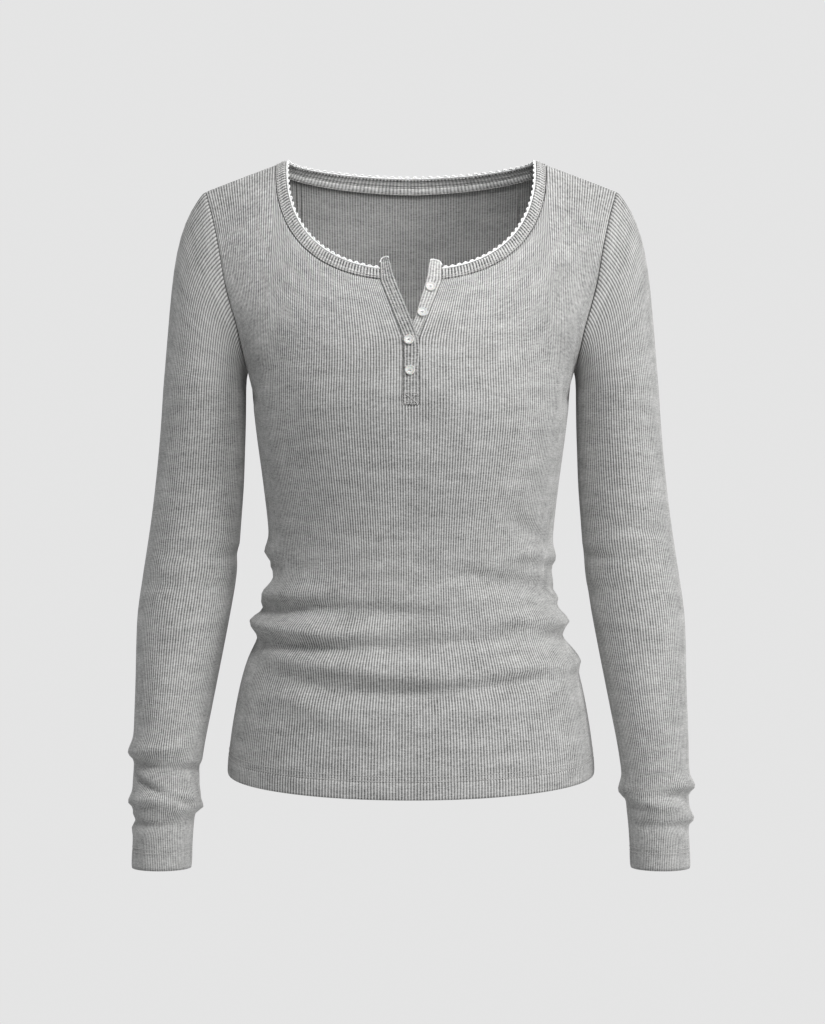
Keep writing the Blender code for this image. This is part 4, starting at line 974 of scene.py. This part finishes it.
def placket_strip(name, table, side, seed, holes=()):
    """One placket band from its foot to its rounded top; side is the side it is sewn to."""
    foot, foot_lift, top = table[1][0], table[1][2], table[-1][0]
    heights = np.concatenate((np.linspace(foot, PLACKET_SPLIT_Z, STRIP_ROWS[0], endpoint=False),
                              np.linspace(PLACKET_SPLIT_Z, top - STRIP_TOP_ROWS[0], STRIP_ROWS[1]),
                              top - STRIP_TOP_ROWS[1:]))
    shares = np.linspace(0, 1, STRIP_RIBS * STRIP_RIB_COLUMNS + 1)
    share, z = np.meshgrid(shares, heights)
    x = strip_x(table, side, share, z)
    near_top = np.clip((z - top + STRIP_TOP_REACH) / STRIP_TOP_REACH, 0, 1)
    z = z - top_rounding(share) * near_top**2
    rng = np.random.default_rng(seed)
    ribs = np.repeat(rng.uniform(*UNEVEN_STRIP_RIBS, STRIP_RIBS + 1), STRIP_RIB_COLUMNS)[: len(shares)]
    ridge = (0.5 - 0.5 * np.cos(shares * STRIP_RIBS * 2 * math.pi)) * ribs * STRIP_RIB_HEIGHT
    if side > 0:
        risen = smooth(table, z, "lift") - foot_lift
        ridge = ridge * smoothstep((risen + PRESSED_EASE) / PRESSED_RISE)
    width = 2 * PLACKET_HALF_WIDTH
    lift = strip_lift(table, share, z) + ridge + edge_dip(share * width, STRIP_SEWN_DIP)
    lift = lift + edge_dip(top - z, STRIP_TOP_DIP) + edge_dip((1 - share) * width, STRIP_FREE_DIP)
    points, out = on_body(x, z, lift)
    us = shares * STRIP_RIBS * RIB_PITCH

    def in_buttonhole(column, row):
        at = points[int(row), int(column)]
        return any(abs(at[0] - hole_x) < BUTTONHOLE_HALF[0] and abs(at[2] - hole_z) < BUTTONHOLE_HALF[1]
                   for hole_x, hole_z in holes)

    return knit_piece(name, points, out, us, heights - heights[0], STRIP_WALL, drop=in_buttonhole)


# a stitch from end to end: places along it as shares of its length, and heights as shares of its rise
STITCH_SHAPE = ((-0.5, -0.8), (-0.28, 0.7), (0.28, 0.7), (0.5, -0.8))


def stitches(route, out, pitch, length, rise):
    """Lines of thread, one for each stitch of a seam, sinking into the cloth at both ends."""
    arcs = distances(route)
    count = max(int(arcs[-1] / pitch), 1)
    lines = []
    for k in range(count):
        middle = (k + 0.5) * arcs[-1] / count
        line = []
        for along, height in STITCH_SHAPE:
            arc = middle + along * length
            at = np.array([np.interp(arc, arcs, route[:, axis]) for axis in range(3)])
            facing = np.array([np.interp(arc, arcs, out[:, axis]) for axis in range(3)])
            line.append(at + facing * height * rise)
        lines.append(line)
    return lines


def sewn(name, lines, thick, slot="rib_knit"):
    """The thread of a seam, riding with the shirt."""
    thread = cord(name, lines, thick)
    thread.data.materials.append(SEWING_THREAD)
    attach(thread, "root")
    return thread


def strip_line(table, side, share, low, high, lift, count=60):
    """A line along a strip at a share of its width, and the way out along it."""
    z = np.linspace(low, high, count)
    return on_body(strip_x(table, side, share, z), z, strip_lift(table, share, z) + lift)


# the over strip's tone painted darker, as shade, where its turned-out cloth faces away from the light
STRIP_KNITS = {-1: rib_knit("over_knit_painted_darker", groove_shade=0.42, fleck=1.0, tone=0.58),
               1: rib_knit("under_knit", groove_shade=0.40, fleck=0.8)}
over_strip = placket_strip("over_strip", OVER_STRIP, -1, 17, BUTTONHOLES)
under_strip = placket_strip("under_strip", UNDER_STRIP, 1, 18)
for strip, side, solid in ((over_strip, -1, "placket_over"), (under_strip, 1, "placket_under")):
    strip.data.materials.append(STRIP_KNITS[side])
    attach(strip, "root")
    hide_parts(solid)

# the edging's cord is carried on over the top of each strip, thinner, and turned in there
END_THICK = 0.0011
END_SHARES = np.linspace(-0.03, 0.92, 14)
end_lines = []
for table, side in ((OVER_STRIP, -1), (UNDER_STRIP, 1)):
    z = table[-1][0] + PICOT_FOOT - top_rounding(END_SHARES)
    lift = strip_lift(table, np.clip(END_SHARES, 0, 1), z)
    end_lines.append(on_body(strip_x(table, side, END_SHARES, z), z, lift)[0])
edging_ends = cord("edging_ends", end_lines, END_THICK)
edging_ends.data.materials.append(WHITE_COTTON)
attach(edging_ends, "root")

SEWING_THREAD = cotton("sewing_thread", (0.62, 0.61, 0.60), ply=0.0005)
THREAD = 0.00042
EDGE_STITCH = (0.0026, 0.0021, 0.0002)       # pitch, length and rise of a stitch
EDGE_STAND = 0.0002
EDGE_SEAM_TOP_Z = -0.1010
EDGE_SEAMS = ((OVER_STRIP, -1, -0.2130), (UNDER_STRIP, 1, -0.1560))     # and where each starts
EDGE_SHARES = (0.10, 0.90)                   # across a strip
edge_lines = []
for table, side, low in EDGE_SEAMS:
    for share in EDGE_SHARES:
        seam = strip_line(table, side, share, low, EDGE_SEAM_TOP_Z, EDGE_STAND)
        edge_lines += stitches(*seam, *EDGE_STITCH)
sewn("placket_stitches", edge_lines, THREAD)

# the crossed box: its four sides and two diagonals, in small close stitches
BOX_SHARES, BOX_LOW, BOX_HIGH = (0.05, 0.94), -0.2238, -0.2146
BOX_STITCH = (0.0017, 0.0016, 0.0002)
BOX_THREAD, BOX_STAND = 0.00050, 0.00040
BOX_POINTS = 30            # along each line of the box
low_sewn, low_free = ((share, BOX_LOW) for share in BOX_SHARES)
high_sewn, high_free = ((share, BOX_HIGH) for share in BOX_SHARES)
box_lines = []
for start, end in ((low_sewn, low_free), (low_free, high_free), (high_free, high_sewn),
                   (high_sewn, low_sewn), (low_sewn, high_free), (low_free, high_sewn)):
    share, z = np.linspace(start, end, BOX_POINTS).T
    stand = smooth(OVER_STRIP, z, "lift") + BOX_STAND
    box_lines += stitches(*on_body(strip_x(OVER_STRIP, -1, share, z), z, stand), *BOX_STITCH)
sewn("crossed_box", box_lines, BOX_THREAD)

# close bars of thread laid over both lips of each buttonhole
BAR_THREAD = 0.00036
BAR_PITCH = 0.00042
BARS_EACH_WAY = 6          # up and down from the middle of the hole
BAR_REACH = (0.00035, 0.00110)     # from the slit to a bar's near and far end
SLOPE_REACH = np.array([-0.002, 0.002])      # up and down from a hole, to find the slope of the strip
BAR_STAND = np.array([-0.0001, 0.0005, 0.0005, -0.0001])     # of a bar's four points
bar_lines = []
for hole_x, hole_z in BUTTONHOLES:
    sewn_x, free_x = (strip_x(OVER_STRIP, -1, share, hole_z) for share in (0, 1))
    share = (hole_x - sewn_x) / (free_x - sewn_x)
    low_x, high_x = strip_x(OVER_STRIP, -1, share, hole_z + SLOPE_REACH)
    slope = (high_x - low_x) / np.ptp(SLOPE_REACH)
    for k in range(-BARS_EACH_WAY, BARS_EACH_WAY + 1):
        for lip in (-1, 1):
            z = hole_z + k * BAR_PITCH
            near, far = (hole_x + slope * (z - hole_z) + lip * reach for reach in BAR_REACH)
            x = np.array([near, near, far, far])
            bar_lines.append(on_body(x, np.full(4, z), strip_lift(OVER_STRIP, share, z) + BAR_STAND)[0])
sewn("buttonhole_thread", bar_lines, BAR_THREAD)

# ==== Buttons ====================================================================================
# Four small turned buttons of off-white resin, dished inside a soft rim and sewn on through four
# holes. The upper two stand on the under strip, the lower two close the strips.
BUTTON_GAP = 0.0005        # under a button, which the thread takes up
BUTTON_STEPS = 48
BUTTON_TURN = 0.35         # radians that each button is turned past the one above it
BUTTON_PROFILE = (
    # radius and height, from the middle of the top round the rim to the middle of the underside
    (0.0, 0.00162),
    (0.0022, 0.00160),
    (0.0029, 0.00168),
    (0.0033, 0.00190),
    (0.0037, 0.00210),
    (0.0041, 0.00208),
    (0.0044, 0.00185),
    (0.0045, 0.00140),
    (0.0043, 0.00060),
    (0.0037, 0.00010),
    (0.0, 0.0),
)
DRILL_DEPTH = 0.006
DRILL_MIDDLE = 0.001       # halfway through the button
HOLE_RADIUS = 0.00040
HOLE_OUT = 0.00080         # of each hole from the button's middle
BUTTON_THREAD = 0.00045
CROSSINGS = ((0.5, 0.0018), (1.5, 0.0022))   # each pair's turn, in quarters, and its thread's height
THREAD_IN, THREAD_OUT = -0.0005, 0.0013      # heights of the thread inside a hole
THREAD_BEND = 0.55         # of the way out to its hole, where the thread bends down
BUTTONS = (
    # x, z, the strip it is sewn to, and how far that strip's curl lifts it there
    (0.0169, -0.1220, UNDER_STRIP, 0.0012),
    (0.0098, -0.1446, UNDER_STRIP, 0.0008),
    (-0.0018, -0.1690, OVER_STRIP, 0.0),
    (-0.0008, -0.1955, OVER_STRIP, 0.0),
)


def resin():
    """Off-white polyester resin, soft gloss, a little cloudy inside."""
    made, tree, shader = material("button_resin")
    place = node(tree, "ShaderNodeTexCoord").outputs["Object"]
    cloud = node(tree, "ShaderNodeTexNoise", {"Vector": place, "Scale": 520.0, "Detail": 3.0})
    shade = node(tree, "ShaderNodeValToRGB", {"Fac": cloud.outputs["Fac"]})
    shade.color_ramp.elements[0].color = (0.52, 0.515, 0.50, 1.0)
    shade.color_ramp.elements[1].color = (0.68, 0.675, 0.66, 1.0)
    scuff = node(tree, "ShaderNodeMapRange", {"Value": cloud.outputs["Fac"], "To Min": 0.30, "To Max": 0.46})
    plug(tree, shader, {"Base Color": shade.outputs[0], "Roughness": scuff.outputs[0],
                        "Subsurface Weight": 0.15, "Subsurface Scale": 0.001, "Coat Weight": 0.2})
    return made


def drilled_button(name, place):
    """A turned disc with its four holes cut through it, moved to its place on the shirt."""
    disc = bmesh.new()
    ring = [disc.verts.new((radius, 0.0, height)) for radius, height in BUTTON_PROFILE]
    edges = [disc.edges.new(pair) for pair in zip(ring, ring[1:])]
    bmesh.ops.spin(disc, geom=ring + edges, cent=(0, 0, 0), axis=(0, 0, 1), angle=2 * math.pi,
                   steps=BUTTON_STEPS, use_merge=True)
    bmesh.ops.remove_doubles(disc, verts=disc.verts, dist=HAIR)
    bmesh.ops.recalc_face_normals(disc, faces=disc.faces)
    drills = bmesh.new()
    for k in range(4):
        turned = Matrix.Rotation((k + 0.5) * math.pi / 2, 4, "Z")
        spot = turned @ Matrix.Translation((HOLE_OUT, 0, DRILL_MIDDLE))
        bmesh.ops.create_cone(drills, cap_ends=True, segments=12, radius1=HOLE_RADIUS, radius2=HOLE_RADIUS,
                              depth=DRILL_DEPTH, matrix=spot)
    blank, drill = shaped(name + "_blank", disc), shaped(name + "_drill", drills)
    cut = blank.modifiers.new("holes", "BOOLEAN")
    cut.operation, cut.object = "DIFFERENCE", drill
    mesh = bpy.data.meshes.new_from_object(blank.evaluated_get(bpy.context.evaluated_depsgraph_get()))
    mesh.transform(place)
    mesh.name = name
    for used in (blank, drill):
        bpy.data.objects.remove(used, do_unlink=True)
    mesh.shade_smooth()
    mesh.set_sharp_from_angle(angle=math.radians(50))
    return placed(name, mesh)


BUTTON_RESIN = resin()
for number, (x, z, strip, curl) in enumerate(BUTTONS, start=1):
    base, out = on_body(np.array(x), np.array(z), smooth(strip, z, "lift") + BUTTON_GAP + curl)
    turn = Vector(out).to_track_quat("Z", "Y").to_matrix().to_4x4()
    place = Matrix.Translation(Vector(base)) @ turn @ Matrix.Rotation(BUTTON_TURN * number, 4, "Z")
    piece = drilled_button(f"turned_button_{number}", place)
    piece.data.materials.clear()
    piece.data.materials.append(BUTTON_RESIN)
    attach(piece, "root")
    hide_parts(f"button_{number}")
    across = []
    for first, rise in CROSSINGS:
        half = [(HOLE_OUT, THREAD_IN), (HOLE_OUT, THREAD_OUT), (HOLE_OUT * THREAD_BEND, rise)]
        to_hole = Matrix.Rotation(first * math.pi / 2, 4, "Z")
        line = half + [(-along, height) for along, height in reversed(half)]
        across.append([place @ to_hole @ Vector((along, 0.0, height)) for along, height in line])
    sewn(f"button_thread_{number}", across, BUTTON_THREAD, "button_white")

# ==== Sewing =====================================================================================
# The hem and the cuffs are turned up and coverstitched, and the same twin needle runs round the
# neck: two rows of short straight stitches in grey thread, pressed into the ribs. One row of it
# shows on the allowance inside the neck.
COVERSTITCH = (0.0028, 0.0023, 0.00022)        # pitch, length and rise of a stitch
HEM_ROWS = (HEM_SEAM_UP + 0.0008, HEM_SEAM_UP + 0.0052)
CUFF_ROWS = (CUFF_SEAM_UP + 0.0008, CUFF_SEAM_UP + 0.0042)
NECK_ROWS = (0.0008, 0.0026)                   # across the band from the neck seam
NECK_STAND = 0.0004
ALLOWANCE_ROW, ALLOWANCE_STAND = 0.0028, 0.0023        # below the seam, on the allowance inside
ROUTE_STEP = 0.001         # between the lines that a route's way out is taken from
HEM_POINTS, CUFF_POINTS, NECK_POINTS = 241, 97, 801    # along each route


def hem_route(facing, up):
    """A line round one panel at a height above its hem, and the way out along it."""
    shares = np.linspace(-1, 1, HEM_POINTS)
    hem = HEM_SIDE_Z - HEM_DIP * (1 - shares**2)
    z = hem + np.array([[up - ROUTE_STEP], [up], [up + ROUTE_STEP]])
    share = shares + 0 * z
    turn = np.where(np.abs(share) == 1, share * math.pi / 2, girth_turn(z, share, facing))
    grid = section_point(turn, z, facing)
    out = outward(grid, facing)
    around = shares if facing < 0 else 2 - shares
    lift = RIB_HEIGHT + fold_offset(BODY_FOLDS + SMALL_CREASES, around, z[1])
    return grid[1] + out[1] * lift[:, None], out[1]


def cuff_route(side, up):
    """A line round a cuff at a height above its edge, and the way out along it."""
    arounds = np.linspace(0, QUARTERS, CUFF_POINTS)
    down = 2 - np.array([up + ROUTE_STEP, up, up - ROUTE_STEP]) / (SLEEVE_TOP_Z - CUFF_Z)
    grid = sleeve_points(arounds, down)
    out = outward(grid, 1)
    out[:, -1] = out[:, 0] = (out[:, 0] + out[:, -1]) / 2
    return (grid[1] + out[1] * RIB_HEIGHT) * (side, 1, 1), out[1] * (side, 1, 1)


hem_lines, cuff_lines, neck_lines = [], [], []
for up in HEM_ROWS:
    for facing in (-1, 1):
        hem_lines += stitches(*hem_route(facing, up), *COVERSTITCH)
for up in CUFF_ROWS:
    for side in (-1, 1):
        cuff_lines += stitches(*cuff_route(side, up), *COVERSTITCH)
_, edge, out, up = neck_frames(NECK_POINTS)
for across in NECK_ROWS:
    neck_lines += stitches(edge + up * (BAND_EASE + across) + out * NECK_STAND, out, *COVERSTITCH)
inside = edge - up * ALLOWANCE_ROW - out * (ALLOWANCE_STAND + BAND_WALL)
neck_lines += stitches(inside, -out, *COVERSTITCH)
sewn("hem_stitches", hem_lines, THREAD)
sewn("cuff_stitches", cuff_lines, THREAD)
sewn("neck_stitches", neck_lines, THREAD)

# ==== Floor, light and camera ====================================================================
# A pale, even studio: a wide floor well under the shirt, two large soft lights, one from the shirt's
# left and one high in front, a narrow beam into the neck, and a level camera at chest height.
PALE = 0.78
FLOOR_Z = -1.1
FLOOR_RADIUS = 40.0
FILL = 0.40
SOFT_LIGHTS = (
    # name, place, aim, power
    ("key_light", (2.3, -1.5, 0.8), (0.0, 0.0, -0.3), 45),
    ("front_light", (0.45, -2.2, 2.6), (0.0, 0.0, -0.25), 58),
)
SOFT_SIZE = 1.2
BEAM_PLACE, BEAM_AIM = (0.1, -1.2, 0.75), (0.0, 0.08, -0.105)
BEAM_POWER, BEAM_DEGREES, BEAM_SOFTNESS = 115, 6.6, 0.8
EYE = (0.00135, -2.6, -0.3168)
SENSOR_HEIGHT = 24.0
FOCUS_PER_FRAME_HEIGHT = 2888.9 / 1024
shape = bmesh.new()
bmesh.ops.create_circle(shape, cap_ends=True, radius=FLOOR_RADIUS, segments=64,
                        matrix=Matrix.Translation((0, 0, FLOOR_Z)))
floor = shaped("floor", shape)


def seen_pale(tree, lit, out):
    """Shows the eye one even pale grey, while the shirt is lit by the shader given."""
    seen = node(tree, "ShaderNodeEmission", {"Color": (PALE, PALE, PALE, 1.0), "Strength": 1.0})
    path = node(tree, "ShaderNodeLightPath")
    either = node(tree, "ShaderNodeMixShader",
                  {0: path.outputs["Is Camera Ray"], 1: lit.outputs[0], 2: seen.outputs[0]})
    tree.links.new(either.outputs[0], out.inputs["Surface"])


made, tree, shader = material("pale_floor")
plug(tree, shader, {"Base Color": (0.6, 0.6, 0.6, 1.0), "Roughness": 1.0})
seen_pale(tree, shader, tree.nodes["Material Output"])
floor.data.materials.append(made)

world = bpy.data.worlds.new("studio")
world.use_nodes = True
tree = world.node_tree
fill = node(tree, "ShaderNodeBackground", {"Color": (0.97, 0.985, 1.0, 1.0), "Strength": FILL})
seen_pale(tree, fill, tree.nodes["World Output"])
bpy.context.scene.world = world
bpy.context.scene.view_settings.view_transform = "Standard"


def light(name, kind, place, aim, power):
    """A light at its place, turned to its aim."""
    source = bpy.data.lights.new(name, kind)
    source.energy = power
    lamp = placed(name, source)
    lamp.location = place
    lamp.rotation_euler = (Vector(aim) - Vector(place)).to_track_quat("-Z", "Y").to_euler()
    return source


for name, place, aim, power in SOFT_LIGHTS:
    soft = light(name, "AREA", place, aim, power)
    soft.shape = "DISK"
    soft.size = SOFT_SIZE

# over the front of the neck, for the inside of the back
beam = light("neck_light", "SPOT", BEAM_PLACE, BEAM_AIM, BEAM_POWER)
beam.spot_size = math.radians(BEAM_DEGREES)
beam.spot_blend = BEAM_SOFTNESS
beam.shadow_soft_size = 0.12

lens = bpy.data.cameras.new("camera")
lens.sensor_fit = "VERTICAL"
lens.sensor_height = SENSOR_HEIGHT
lens.lens = SENSOR_HEIGHT * FOCUS_PER_FRAME_HEIGHT
camera = placed("camera", lens)
camera.location = EYE
camera.rotation_euler = (math.pi / 2, 0.0, 0.0)
bpy.context.scene.camera = camera
